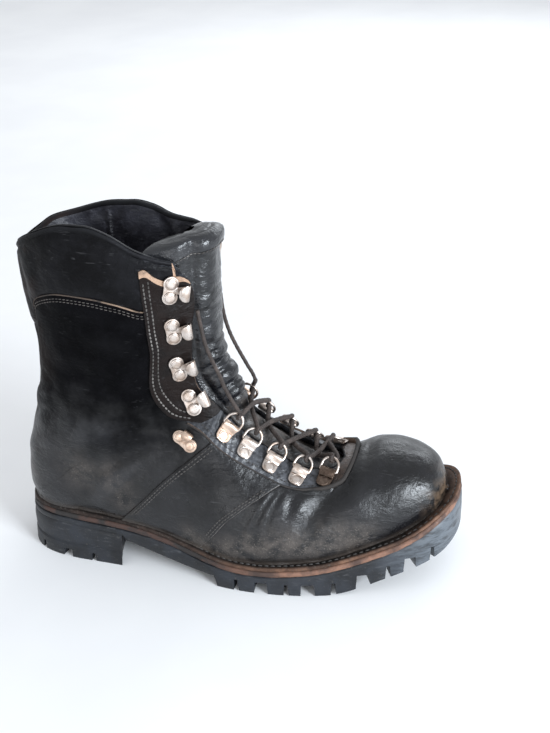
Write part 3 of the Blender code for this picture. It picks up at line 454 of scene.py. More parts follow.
def sweep(path, section, normals=None, closed=False, widths=None):
    """Points and faces of a section (across, out) carried along a path.  widths scales the
    section's first coordinate, or both where it has two columns."""
    path, section = np.asarray(path, float), np.asarray(section, float)
    tangents = tangents_of(path, closed)
    normals = carried_normals(path, closed) if normals is None else np.asarray(normals, float)
    normals = unit(normals - tangents * np.sum(normals * tangents, -1, keepdims=True))
    across = np.cross(tangents, normals)
    scale = np.ones((len(path), 2))
    if widths is not None:
        widths = np.asarray(widths, float).reshape(len(path), -1)
        scale[:, :widths.shape[1]] = widths
    points = (path[:, None] + across[:, None] * section[None, :, :1] * scale[:, None, :1]
              + normals[:, None] * section[None, :, 1:] * scale[:, None, 1:])
    return points.reshape(-1, 3), loop_faces(*points.shape[:2], closed)


def round_section(radius, sides):
    turn = np.linspace(0, 2 * math.pi, sides, endpoint=False)
    return np.stack([radius * np.cos(turn), radius * np.sin(turn)], -1)


def strap_section(half, low, high, corner, per_corner=3):
    """Flat section with rounded corners: from -half to half across, low to high outward."""
    corner = min(corner, (high - low) / 2.01, half / 2)
    points = []
    for x, y, start in ((half - corner, high - corner, 0.0), (-half + corner, high - corner, .5),
                        (-half + corner, low + corner, 1.0), (half - corner, low + corner, 1.5)):
        for k in range(per_corner):
            turn = math.pi * (start + 0.5 * k / (per_corner - 1))
            points.append((x + corner * math.cos(turn), y + corner * math.sin(turn)))
    return np.array(points)


def add_stitches(pile, path, normals, length, gap, radius, rise=0.22):
    """Short thread capsules one after the other along a path on a surface."""
    path, normals = even_line(path, normals, (length + gap) / 8.0)
    stations = np.arange(0, len(path) - 8, 8)
    share = np.array([-1.0, -0.86, -0.45, 0.0, 0.45, 0.86, 1.0])
    girth = np.array([0.25, 0.72, 1.0, 1.0, 1.0, 0.72, 0.25])
    arch = rise - (rise + radius * 0.7) * np.abs(share) ** 3
    for i in stations:
        middle = path[i + 4]
        along = unit((path[min(i + 8, len(path) - 1)] - path[i])[None])[0]
        line = middle + along * share[:, None] * length / 2 + normals[i + 4] * arch[:, None]
        pile.add(*sweep(line, round_section(radius, 6), np.tile(normals[i + 4], (7, 1)),
                        widths=np.stack([girth, girth], -1)))


# ---- materials ----------------------------------------------------------------------------
class Look:
    """Node tree of one material, built from short calls."""

    def __init__(self, name, **sockets):
        self.material = bpy.data.materials.new(name)
        self.material.use_nodes = True
        self.tree = self.material.node_tree
        self.shader = self.tree.nodes["Principled BSDF"]
        for socket, value in sockets.items():
            self.shader.inputs[socket.replace("_", " ")].default_value = value
        self.place = self.node("ShaderNodeTexCoord").outputs["Object"]

    def node(self, kind, links=None, **settings):
        made = self.tree.nodes.new(kind)
        for key, value in settings.items():
            setattr(made, key, value)
        for socket, value in (links or {}).items():
            self.put(made.inputs[socket], value)
        return made

    def put(self, socket, value):
        if isinstance(value, bpy.types.NodeSocket):
            self.tree.links.new(value, socket)
        else:
            socket.default_value = value

    def scaled(self, x, y, z, turn=(0.0, 0.0, 0.0)):
        links = {"Vector": self.place, "Scale": (x, y, z), "Rotation": turn}
        return self.node("ShaderNodeMapping", links).outputs["Vector"]

    def noise(self, scale, detail=3.0, rough=0.55, place=None, distortion=0.0):
        links = {"Vector": place or self.place, "Scale": scale, "Detail": detail,
                 "Roughness": rough, "Distortion": distortion}
        return self.node("ShaderNodeTexNoise", links).outputs["Fac"]

    def cells(self, scale):
        links = {"Vector": self.place, "Scale": scale}
        return self.node("ShaderNodeTexVoronoi", links).outputs["Distance"]

    def mark(self, name):
        return self.node("ShaderNodeAttribute", attribute_name=name).outputs["Fac"]

    def math(self, operation, a, b=0.0, clamp=False):
        made = self.node("ShaderNodeMath", operation=operation, use_clamp=clamp)
        self.put(made.inputs[0], a)
        self.put(made.inputs[1], b)
        return made.outputs[0]

    def times(self, a, b):
        return self.math("MULTIPLY", a, b)

    def most(self, a, b):
        return self.math("MAXIMUM", a, b)

    def axis(self, name):
        return self.node("ShaderNodeSeparateXYZ", {"Vector": self.place}).outputs[name]

    def span(self, value, low, high, to_low=0.0, to_high=1.0):
        links = {"Value": value, "From Min": low, "From Max": high, "To Min": to_low,
                 "To Max": to_high}
        return self.node("ShaderNodeMapRange", links, clamp=True,
                         interpolation_type="SMOOTHSTEP").outputs["Result"]

    def mix(self, share, a, b):
        made = self.node("ShaderNodeMix", data_type="RGBA")
        self.put(made.inputs["Factor"], share)
        for socket, value in ((made.inputs[6], a), (made.inputs[7], b)):
            self.put(socket, (*value, 1.0) if isinstance(value, tuple) else value)
        return made.outputs[2]

    def blend(self, value, low, high, a, b):
        """One color where the value is low and another where it is high."""
        return self.mix(self.span(value, low, high), a, b)

    def fleck(self, color, value, low, high, amount, over):
        """The color with another laid over it, up to an amount, where the value is high."""
        return self.mix(self.span(value, low, high, 0.0, amount), color, over)

    def stain(self, color, share, amount, over):
        """The color with another laid over it by a share of an amount."""
        return self.mix(self.times(share, amount), color, over)

    def bump(self, height, strength, distance, normal=None):
        links = {"Height": height, "Strength": strength, "Distance": distance}
        if normal is not None:
            links["Normal"] = normal
        return self.node("ShaderNodeBump", links).outputs["Normal"]

    def finish(self, color=None, roughness=None, normal=None):
        for name, value in (("Base Color", color), ("Roughness", roughness), ("Normal", normal)):
            if value is not None:
                self.put(self.shader.inputs[name], value)
        return self.material

    def scratches(self, size, turn, amount):
        """Thin broken lines in one direction, 0 to 1."""
        streak = self.noise(1.0, 2.0, 0.5, self.scaled(size * 0.06, size, size, turn), 0.3)
        broken = self.noise(55.0, 2.0, 0.6)
        line = self.span(streak, 0.70 - amount, 0.74 - amount * 0.6)
        return self.times(line, self.span(broken, 0.50, 0.62))


BLACK = (0.0014, 0.0014, 0.0018)
WORN_BLACK = (0.0060, 0.0060, 0.0074)
DUST_BROWN = (0.105, 0.088, 0.076)
SCRATCHES = ((620.0, (0.3, 0.2, 0.9), 0.035), (760.0, (1.2, 0.5, -0.5), 0.03),
             (520.0, (0.1, 1.3, 0.2), 0.03))        # (fineness, turn, amount)


def leather_look(name, dark=BLACK, light=WORN_BLACK, roughness=(0.30, 0.46), grain=1.0, wrinkle=1.0,
                 dusty=True, specular=0.10, wax=None, shaft=None):
    """Old black leather: pores, fine wrinkles, scratches, dust and worn edges, with painted highlights
    on raised folds and rims, a painted sheen on the facings, a painted reddish-brown reflection on the
    back and painted shade on the shaft.
    """
    look = Look(name, Specular_IOR_Level=specular)
    clouds = look.noise(38.0, 5.0, 0.62)
    mottle = look.noise(240.0, 4.0, 0.65)
    color = look.blend(clouds, 0.34, 0.70, dark, light)
    color = look.stain(color, look.span(mottle, 0.50, 0.78), 0.5, tuple(c * 1.9 for c in light))
    scratched = look.scratches(*SCRATCHES[0])
    for scratch in SCRATCHES[1:]:
        scratched = look.most(scratched, look.scratches(*scratch))
    color = look.stain(color, scratched, 0.40, (0.060, 0.060, 0.063))
    if dusty:
        band = look.mark("dust")
        speck = look.noise(900.0, 4.0, 0.7)
        dust = look.times(band, look.span(look.noise(95.0, 4.0, 0.6), 0.32, 0.66))
        color = look.stain(color, dust, 0.52, DUST_BROWN)
        flecks = look.times(look.span(speck, 0.56, 0.66), look.span(band, 0.15, 0.8))
        color = look.stain(color, flecks, 0.46, (0.19, 0.165, 0.142))
        rubbed = look.times(look.mark("wear"), look.span(look.noise(160.0, 3.0), 0.38, 0.62))
        color = look.stain(color, rubbed, 0.75, (0.17, 0.115, 0.075))
        color = look.stain(color, look.mark("feather"), 0.35, (0.06, 0.045, 0.034))
        nap = look.span(look.noise(420.0, 4.0, 0.7), 0.35, 0.65, 0.45, 0.95)
        color = look.stain(color, look.mark("suede"), nap, (0.125, 0.080, 0.058))
        # reddish-brown tint on the back of the boot (the rear mark): painted reflection
        brown = look.times(look.mark("rear"), look.span(look.noise(45.0, 3.0), 0.42, 0.66))
        color = look.stain(color, brown, 0.55, (0.040, 0.019, 0.012))
        # raised folds, the collar's rolled rim and the tongue's top roll (the fold mark) are lightened:
        # painted highlight
        color = look.stain(color, look.span(look.mark("fold"), 0.1, 0.9), 0.22, (0.050, 0.051, 0.056))
        # the facing strips get a lighter bluish grey: painted sheen
        grey = look.times(look.mark("facing"), look.span(look.noise(210.0, 4.0, 0.7), 0.26, 0.60))
        color = look.stain(color, grey, 0.62, (0.105, 0.110, 0.124))
    if wax:
        color = look.blend(look.noise(70.0, 4.0), 0.36, 0.62, color, wax)
    gloss = look.span(look.noise(60.0, 4.0, 0.6), 0.30, 0.72, roughness[0], roughness[1])
    if shaft:       # polished below, dull on the shaft, where the colour is also darkened as painted shade
        drift = look.span(look.noise(26.0, 4.0, 0.6), 0.3, 0.7, -0.022, 0.022)
        height = look.math("ADD", look.axis("Z"), drift)
        polished_unshaded = look.most(look.span(height, 0.055, 0.155, 1.0, 0.0),
                             look.span(look.axis("X"), 0.03, 0.08))
        look.put(look.shader.inputs["Specular IOR Level"],
                 look.span(polished_unshaded, 0.0, 1.0, shaft, specular))
        # the shaft's colour is darkened by up to 55 per cent: painted shade
        color = look.mix(look.span(polished_unshaded, 0.0, 1.0, 0.55, 0.0), color, (0.0004, 0.0004, 0.0007))
        gloss = look.math("ADD", gloss, look.span(polished_unshaded, 0.0, 1.0, 0.14, 0.0))
    if dusty:
        gloss = look.math("ADD", gloss, look.times(look.mark("dust"), 0.22), clamp=True)
    pores = look.cells(1500.0)
    creases = look.noise(1.0, 5.0, 0.6, look.scaled(240.0, 240.0, 430.0), 0.8)
    folds = look.noise(1.0, 4.0, 0.55, look.scaled(70.0, 70.0, 130.0), 1.2)
    normal = look.bump(folds, 0.34 * wrinkle, 0.0022)
    normal = look.bump(creases, 0.42 * wrinkle, 0.0007, normal)
    normal = look.bump(pores, 0.22 * grain, 0.00022, normal)
    normal = look.bump(scratched, -0.25, 0.0002, normal)
    return look.finish(color, gloss, normal)


def edge_look(name, color, dark, faded=False):
    """Raw cut edge of leather."""
    look = Look(name)
    fibre = look.noise(1.0, 4.0, 0.7, look.scaled(500.0, 500.0, 1600.0))
    patch = look.noise(70.0, 3.0, 0.6)
    bright = tuple(min(c * 1.7, 1.0) for c in color)
    tint = look.blend(patch, 0.30, 0.52, dark, color)
    tint = look.fleck(tint, fibre, 0.45, 0.75, 0.5, bright)
    if faded:
        tint = look.mix(look.mark("pale"), dark, tint)
    return look.finish(tint, look.span(fibre, 0.3, 0.7, 0.7, 0.9), look.bump(fibre, 0.5, 0.0004))


def thread_look(name, color):
    look = Look(name)
    twist = look.noise(1.0, 2.0, 0.5, look.scaled(1500.0, 1500.0, 2300.0, (0.6, 0.4, 0.2)))
    dirt = look.noise(90.0, 3.0)
    tint = look.blend(dirt, 0.35, 0.65, (0.035, 0.031, 0.028), color)
    return look.finish(tint, look.span(twist, 0.3, 0.7, 0.55, 0.8), look.bump(twist, 0.6, 0.0003))


def cord_look(name, color, light):
    """Waxed braided lace; along is in mm and around in turns on its mesh."""
    look = Look(name)
    along, around = look.mark("along"), look.mark("around")
    waves = []
    for turn in (1.0, -1.0):
        phase = look.math("ADD", look.times(along, 3.4), look.times(around, turn * 4 * 2 * math.pi))
        waves.append(look.span(look.math("SINE", phase), -0.4, 1.0))
    braid = look.most(*waves)
    dirt = look.noise(150.0, 4.0, 0.65)
    # the braid's grooves take half the colour: painted shade
    tint = look.blend(braid, 0.1, 0.9, tuple(c * 0.5 for c in color), color)
    tint = look.stain(tint, look.span(dirt, 0.42, 0.72), 0.55, light)
    fuzz = look.noise(1400.0, 3.0, 0.7)
    normal = look.bump(fuzz, 0.3, 0.0003, look.bump(braid, 0.8, 0.0005))
    return look.finish(tint, look.span(dirt, 0.3, 0.7, 0.55, 0.85), normal)


def metal_look(name, bright, worn):
    """Old nickel plate: warm, finely scratched, and darkened brown in its hollows, curls and rivet rims
    through the groove mark: tarnish with painted shade.
    """
    look = Look(name, Roughness=0.35, Metallic=1.0)
    tarnish = look.noise(160.0, 5.0, 0.65)
    spots = look.noise(620.0, 4.0, 0.7)
    tint = look.blend(tarnish, 0.36, 0.66, bright, worn)
    tint = look.fleck(tint, spots, 0.60, 0.75, 0.6, (0.22, 0.16, 0.12))
    # the groove mark darkens hollows, curls and rivet rims: tarnish with painted shade
    tint = look.stain(tint, look.mark("groove"), 0.9, (0.085, 0.055, 0.040))
    scratch = look.noise(1.0, 3.0, 0.6, look.scaled(420.0, 2600.0, 900.0, (0.5, 0.2, 0.7)))
    rough = look.math("ADD", look.span(tarnish, 0.35, 0.7, 0.27, 0.48),
                      look.span(scratch, 0.5, 0.75, 0.0, 0.12))
    return look.finish(tint, rough, look.bump(scratch, 0.25, 0.00018, look.bump(spots, 0.2, 0.0002)))


def rubber_look(name):
    """Blue-black sole rubber, scuffed and dusty, with a painted blue-grey reflection toward the toe."""
    look = Look(name, Specular_IOR_Level=0.42)
    clouds = look.noise(42.0, 5.0, 0.6)
    scuff = look.noise(1.0, 4.0, 0.7, look.scaled(90.0, 90.0, 420.0))
    tint = look.blend(clouds, 0.36, 0.66, (0.0045, 0.0052, 0.0068), (0.0165, 0.0195, 0.0255))
    tint = look.fleck(tint, scuff, 0.56, 0.76, 0.45, (0.115, 0.118, 0.125))
    grit = look.noise(850.0, 3.0, 0.7)
    tint = look.fleck(tint, grit, 0.62, 0.74, 0.5, (0.16, 0.145, 0.125))
    # lighter blue-grey toward the toe, broken up by the scuffs: painted reflection
    tint = look.stain(tint, look.span(look.axis("X"), 0.095, 0.145),
                      look.span(scuff, 0.30, 0.60, 0.15, 0.8), (0.120, 0.138, 0.158))
    rough = look.span(clouds, 0.3, 0.7, 0.40, 0.62)
    return look.finish(tint, rough, look.bump(scuff, 0.35, 0.0006, look.bump(grit, 0.3, 0.0003)))


def welt_look(name):
    """Black waxed welt, its outer edge worn to brown leather toward the toe."""
    look = Look(name, Specular_IOR_Level=0.2)
    x = look.axis("X")
    patch = look.noise(85.0, 4.0, 0.65)
    rough = look.noise(1.0, 4.0, 0.7, look.scaled(260.0, 260.0, 700.0))
    tint = look.blend(patch, 0.35, 0.65, (0.0045, 0.0038, 0.0036), (0.018, 0.014, 0.0125))
    bare = look.times(look.mark("outer"), look.span(x, -0.04, 0.06, 0.12, 1.0))
    bare = look.times(bare, look.span(look.noise(48.0, 4.0, 0.6), 0.30, 0.56, 0.35, 1.0))
    toe = look.times(look.mark("shelf"), look.span(x, 0.105, 0.140))
    bare = look.most(bare, look.times(toe, look.span(patch, 0.30, 0.58, 0.3, 0.9)))
    brown = look.blend(patch, 0.36, 0.64, (0.075, 0.038, 0.024), (0.170, 0.092, 0.058))
    tint = look.mix(bare, tint, brown)
    tint = look.fleck(tint, look.noise(700.0, 4.0, 0.7), 0.54, 0.70, 0.55, (0.105, 0.092, 0.080))
    return look.finish(tint, look.span(rough, 0.3, 0.7, 0.45, 0.72), look.bump(rough, 0.55, 0.0006))


def midsole_look(name):
    """Stacked leather edge: nearly black at the waist, worn to orange-brown toward the toe."""
    look = Look(name)
    front = look.span(look.axis("X"), -0.02, 0.055)
    patch = look.noise(60.0, 4.0, 0.6)
    fibre = look.noise(1.0, 4.0, 0.7, look.scaled(110.0, 110.0, 1500.0))
    brown = look.blend(patch, 0.38, 0.62, (0.060, 0.031, 0.022), (0.220, 0.112, 0.072))
    heel = look.blend(patch, 0.44, 0.58, (0.014, 0.011, 0.010), (0.050, 0.024, 0.017))
    tint = look.mix(front, heel, brown)
    tint = look.fleck(tint, fibre, 0.52, 0.72, 0.55, (0.035, 0.024, 0.018))
    return look.finish(tint, look.span(fibre, 0.3, 0.7, 0.5, 0.75), look.bump(fibre, 0.55, 0.0005))


def felt_look(name):
    look = Look(name)
    fibre = look.noise(700.0, 6.0, 0.75)
    patch = look.noise(40.0, 4.0)
    tint = look.blend(patch, 0.3, 0.7, (0.030, 0.026, 0.022), (0.085, 0.072, 0.060))
    return look.finish(tint, look.span(fibre, 0.3, 0.7, 0.85, 1.0), look.bump(fibre, 0.7, 0.0008))


def floor_look(name):
    look = Look(name)
    patch = look.noise(6.0, 3.0)
    tint = look.blend(patch, 0.3, 0.7, (0.86, 0.86, 0.865), (0.90, 0.90, 0.90))
    return look.finish(tint, look.span(look.noise(260.0, 3.0), 0.3, 0.7, 0.75, 0.9))


def make_materials():
    return {
        "leather": leather_look("upper_leather_look", roughness=(0.25, 0.40), specular=0.46,
                                shaft=0.035),
        "pad": leather_look("collar_leather_look", roughness=(0.38, 0.54), wrinkle=1.1,
                            specular=0.09),
        "lining": leather_look("lining_look", (0.0095, 0.0090, 0.0115), (0.036, 0.036, 0.045),
                               dusty=False, grain=1.4, wrinkle=1.3, specular=0.32),
        "tongue": leather_look("tongue_look", (0.0012, 0.0014, 0.0020), (0.0050, 0.0056, 0.0078),
                               (0.13, 0.27), wrinkle=1.35, specular=0.55),
        "stay": leather_look("stay_look", (0.0042, 0.0032, 0.0030), (0.011, 0.0080, 0.0072),
                             dusty=False, wrinkle=1.7, specular=0.13, wax=(0.0085, 0.0052, 0.0044)),
        "edge": edge_look("raw_edge_look", (0.36, 0.235, 0.160), (0.085, 0.058, 0.044)),
        "seam_edge": edge_look("seam_edge_look", (0.24, 0.165, 0.115), (0.020, 0.016, 0.014), True),
        "pale_edge": edge_look("pale_edge_look", (0.16, 0.145, 0.135), (0.035, 0.031, 0.030)),
        "dark_edge": edge_look("dark_edge_look", (0.020, 0.016, 0.014), (0.005, 0.0045, 0.0045)),
        "suede": edge_look("suede_look", (0.15, 0.098, 0.070), (0.035, 0.025, 0.020)),
        "thread": thread_look("thread_look", (0.082, 0.071, 0.064)),
        "pale_thread": thread_look("pale_thread_look", (0.155, 0.143, 0.134)),
        "dark_thread": thread_look("dark_thread_look", (0.055, 0.050, 0.047)),
        "cord": cord_look("lace_look", (0.038, 0.027, 0.023), (0.130, 0.100, 0.086)),
        "metal": metal_look("nickel_look", (0.68, 0.61, 0.56), (0.44, 0.35, 0.29)),
        "dark_metal": metal_look("tarnished_nickel_look", (0.20, 0.15, 0.12), (0.075, 0.052, 0.040)),
        "warm_metal": metal_look("worn_nickel_look", (0.74, 0.58, 0.47), (0.50, 0.35, 0.26)),
        "rubber": rubber_look("rubber_look"),
        "welt": welt_look("welt_look"),
        "midsole": midsole_look("midsole_look"),
        "felt": felt_look("felt_look"),
        "floor": floor_look("floor_look"),
    }


# ---- the upper's surface ------------------------------------------------------------------
# Lines on the upper are (section number, degrees from the front line), the same on both sides.
SEAM_REAR = ((9.45, 44), (9.93, 60), (10.25, 74), (10.45, 90), (10.62, 119), (10.7, 150))
SEAM_FRONT = ((6.60, 38), (7.10, 52), (7.65, 66), (8.18, 83), (8.65, 114), (8.9, 150))
PAD_SEAM = ((16.25, 30), (16.3, 60), (16.38, 68), (16.60, 76), (16.82, 85), (17.07, 98), (17.25, 115),
            (17.28, 128), (17.18, 144), (16.9, 150), (16.7, 160), (16.6, 180))
FACING_EDGE = ((4.74, 0), (4.80, 8), (4.98, 26), (5.30, 32), (5.80, 34), (6.10, 36), (6.58, 38),
               (7.20, 38), (8.12, 40), (8.97, 43), (9.95, 44), (10.78, 45), (11.5, 44), (12.7, 48),
               (14.5, 56), (16.0, 61), (19.0, 62))
BACK_PANEL_EDGE = ((14.6, 181), (14.95, 172), (15.25, 160), (15.9, 152), (16.5, 151), (17.2, 147),
                   (19.0, 146))
HEIGHTS = {"facing": -0.3, "vamp": 1.0, "middle": 0.5, "quarter": 0.8, "under_stay": 0.0,
           "back": -0.1}

# Creases and bulges: (stations, height in mm, half width in mm)
CREASES = (
    # wrinkles fanning out below the front seam
    (((6.70, 44), (7.03, 60), (7.35, 80)), -0.9, 1.3),
    (((6.86, 46), (7.20, 62), (7.52, 81)), 0.6, 1.5),
    (((6.98, 48), (7.38, 68), (7.66, 86)), -0.8, 1.2),
    (((6.56, 42), (6.78, 58), (6.93, 79)), -0.9, 1.5),
    (((6.64, 44), (6.90, 60), (7.12, 79)), 0.5, 1.4),
    (((6.40, 41), (6.52, 55), (6.62, 74)), 0.6, 3.4),
    (((7.23, 54), (7.55, 68), (7.85, 84)), -0.7, 1.2),
    (((6.25, 38), (6.30, 52), (6.35, 66)), -0.4, 3.0),
    # the bend behind the toe cap
    (((4.90, 31), (5.35, 42), (5.75, 56), (6.05, 74)), -2.4, 6.5),
    (((5.78, 38), (6.05, 50), (6.30, 62), (6.5, 76)), 0.9, 5.5),
    (((4.30, 30), (4.42, 48), (4.50, 70)), 1.0, 9.0),
    (((5.30, 52), (5.60, 66), (5.85, 80)), -0.5, 2.4),
    # ankle
    (((10.83, 54), (11.58, 64), (12.10, 75), (12.35, 90)), -2.0, 5.5),
    (((10.95, 46), (11.93, 56), (12.75, 66), (13.68, 80)), -1.1, 4.5),
    (((11.9, 96), (12.9, 104), (13.7, 108)), -2.6, 9.0),
    (((13.2, 76), (13.9, 90), (14.3, 104)), 2.4, 11.0),
    (((11.3, 74), (11.7, 92), (11.6, 112)), 2.2, 9.0),
    (((10.9, 60), (11.05, 80), (11.0, 100)), -0.9, 5.0),
    (((15.95, 138), (15.45, 113), (14.88, 90), (14.05, 68)), -1.4, 7.0),
    (((15.3, 70), (15.9, 88), (16.3, 110)), 1.0, 9.0),
    # back of the heel
    (((14.88, 165), (14.88, 151), (14.83, 132), (14.73, 116)), -2.3, 3.6),
    (((15.88, 155), (15.50, 138), (15.15, 128)), -1.0, 3.4),
    (((15.1, 170), (15.28, 150), (15.2, 134)), 1.4, 4.0),
    (((14.35, 165), (14.4, 140), (14.3, 120)), 1.5, 6.0),
    (((12.2, 150), (12.4, 130), (12.2, 112)), 1.2, 10.0),
)
FRONT_CREASES = (           # across the vamp's middle, in front of the throat
    (((4.35, -24), (4.30, 0), (4.35, 24)), -0.7, 3.5),
    (((4.62, -26), (4.55, 0), (4.62, 26)), 0.7, 2.8),
)
DUST_BAND = ((8.6, 116), (8.25, 110), (7.35, 92), (6.53, 86), (5.73, 84), (5.08, 85), (4.45, 94))
DUST_SPOTS = (((7.1, 84), 7.0), ((6.5, 82), 8.0), ((5.35, 76), 6.0), ((5.0, 80), 7.0),
              ((10.9, 100), 10.0), ((11.7, 88), 12.0), ((9.0, 112), 9.0), ((12.9, 100), 14.0))

MM_PER_DEGREE = 0.85        # round the boot, about
COLLAR_ANGLES = np.linspace(-math.pi, math.pi, 1441)
COLLAR_SECTIONS = collar_section(COLLAR_ANGLES)


def collar_edge(angle):
    return np.interp(angle, COLLAR_ANGLES, COLLAR_SECTIONS)


def real_section(s, angle):
    """Section number on the last of row s, squeezed so that the last row is the collar's edge."""
    start, end = SECTION["heel_back"] + 1.0, float(len(LAST) - 1)
    return np.where(s > start, start + (s - start) * (collar_edge(angle) - start) / (end - start), s)


def table(rows):
    """The two columns of a finely sampled smooth curve through the rows."""
    return spline(rows, 6).T


def line_on_last(stations, side=1, per_span=8):
    """A smooth line on the last: section numbers and angles."""
    rows = spline(stations, per_span)
    return rows[:, 0], side * np.radians(rows[:, 1])


def distance_to(points, path, reach):
    """Distance of each point from a path, and where along it the nearest place is (0 to 1)."""
    distance, share = np.full(len(points), 1e3), np.zeros(len(points))
    low, high = path.min(0) - reach, path.max(0) + reach
    near = np.where(np.all((points > low) & (points < high), axis=1))[0]
    if not len(near):
        return distance, share
    some, best, place = points[near], np.full(len(near), 1e3), np.zeros(len(near))
    for k in range(len(path) - 1):
        step = path[k + 1] - path[k]
        t = np.clip((some - path[k]) @ step / max(step @ step, 1e-9), 0, 1)
        gap = np.linalg.norm(some - path[k] - t[:, None] * step, axis=1)
        closer = gap < best
        best[closer], place[closer] = gap[closer], ((k + t) / (len(path) - 1))[closer]
    distance[near], share[near] = best, place
    return distance, share


def section_spacing(s, angle):
    """Millimetres on the last for one section number."""
    return np.linalg.norm(last_point(s + 0.05, angle) - last_point(s - 0.05, angle), axis=-1) / 0.1


def beyond(s, angle, line):
    """Millimetres of a place above a line that is given as section number by angle."""
    at, value = table(line)
    return (s - np.interp(np.degrees(np.abs(angle)), value, at)) * section_spacing(s, angle)


def outside(s, angle, line):
    """Millimetres of a place outside a line that is given as angle by section number."""
    at, value = table(line)
    return (np.degrees(np.abs(angle)) - np.interp(s, at, value)) * MM_PER_DEGREE


def panel_height(s, angle):
    """Height of the leather layers over the last."""
    rear = smoothstep(beyond(s, angle, SEAM_REAR), -0.55, 0.55)
    front = 1 - smoothstep(beyond(s, angle, SEAM_FRONT), -0.55, 0.55)
    side = (rear * HEIGHTS["quarter"] + front * HEIGHTS["vamp"]
            + (1 - rear - front) * HEIGHTS["middle"])
    inner = np.where(s > 10.6, HEIGHTS["under_stay"], HEIGHTS["facing"])
    covered = smoothstep(outside(s, angle, FACING_EDGE), -0.6, 0.6)
    # round the throat's end the vamp's edge stands up over the facing
    ahead = smoothstep((4.78 - s) * section_spacing(s, angle), -0.4, 0.6)
    covered = np.maximum(covered, ahead)
    height = inner * (1 - covered) + side * covered
    back = smoothstep(outside(s, angle, BACK_PANEL_EDGE), -0.7, 0.7) * (s > 14.4)
    height = height * (1 - back) + HEIGHTS["back"] * back
    padded = smoothstep(beyond(s, angle, PAD_SEAM), -0.3, 0.9)
    return height * (1 - padded) - 1.0 * padded


def crease(points, stations, side, depth, width, ends):
    """Soft trough or ridge along a line, fading to a share of its depth at its ends."""
    gap, share = distance_to(points, last_point(*line_on_last(stations, side, 6)), width * 3)
    return depth * bell(gap, width) * (ends + (1 - ends) * np.sin(math.pi * share) ** 0.6)


def relief(s, angle, points, flat=None):
    """Height of the finished leather over the last, and its creases.  A panel of its own gives
    its flat height."""
    height = panel_height(s, angle) if flat is None else np.full(len(s), float(flat))
    degrees = np.degrees(np.abs(angle))
    outer = smoothstep(outside(s, angle, FACING_EDGE), 0.0, 4.0)
    outer = np.maximum(outer, smoothstep(4.8 - s, 0, .1))
    folds = np.zeros(len(s))
    for stations, depth, width in CREASES:
        for side in (1, -1):
            folds += crease(points, stations, side, depth, width, 0.25)
    height += folds * outer
    for stations, depth, width in FRONT_CREASES:
        height += crease(points, stations, 1, depth, width, 0.0)
    soft = wander(points, 26.0, 1.0) * 0.9 + wander(points, 11.0, 2.0) * 0.35
    toe = smoothstep(s, 2.0, 4.5)
    height += soft * (0.25 + 0.75 * toe) * outer
    fine = wander(points * np.array([1.6, 1.0, 0.7]), 3.4, 3.0) * 0.10
    height += fine * (0.3 + 0.7 * toe)
    # fine wrinkles across the facing strips and the instep
    across = np.sin(s * 22.0 + 2.6 * wander(points, 8.0, 4.0)) * 0.22 + 0.25 * wander(points, 2.4, 5.0)
    height += across * (1 - smoothstep(outside(s, angle, FACING_EDGE), -1.0, 1.0)) * (s > 5.2)
    height += 0.8 * bell(degrees - 180, 16) * smoothstep(s, 15.0, 16.2)
    return height, folds


def mesh_normals(points, faces):
    a, b, c, d = points[np.asarray(faces).T]
    diagonal = np.cross(c - a, d - b)
    normals = np.zeros_like(points)
    for k in range(4):
        np.add.at(normals, np.asarray(faces)[:, k], diagonal)
    return unit(normals)


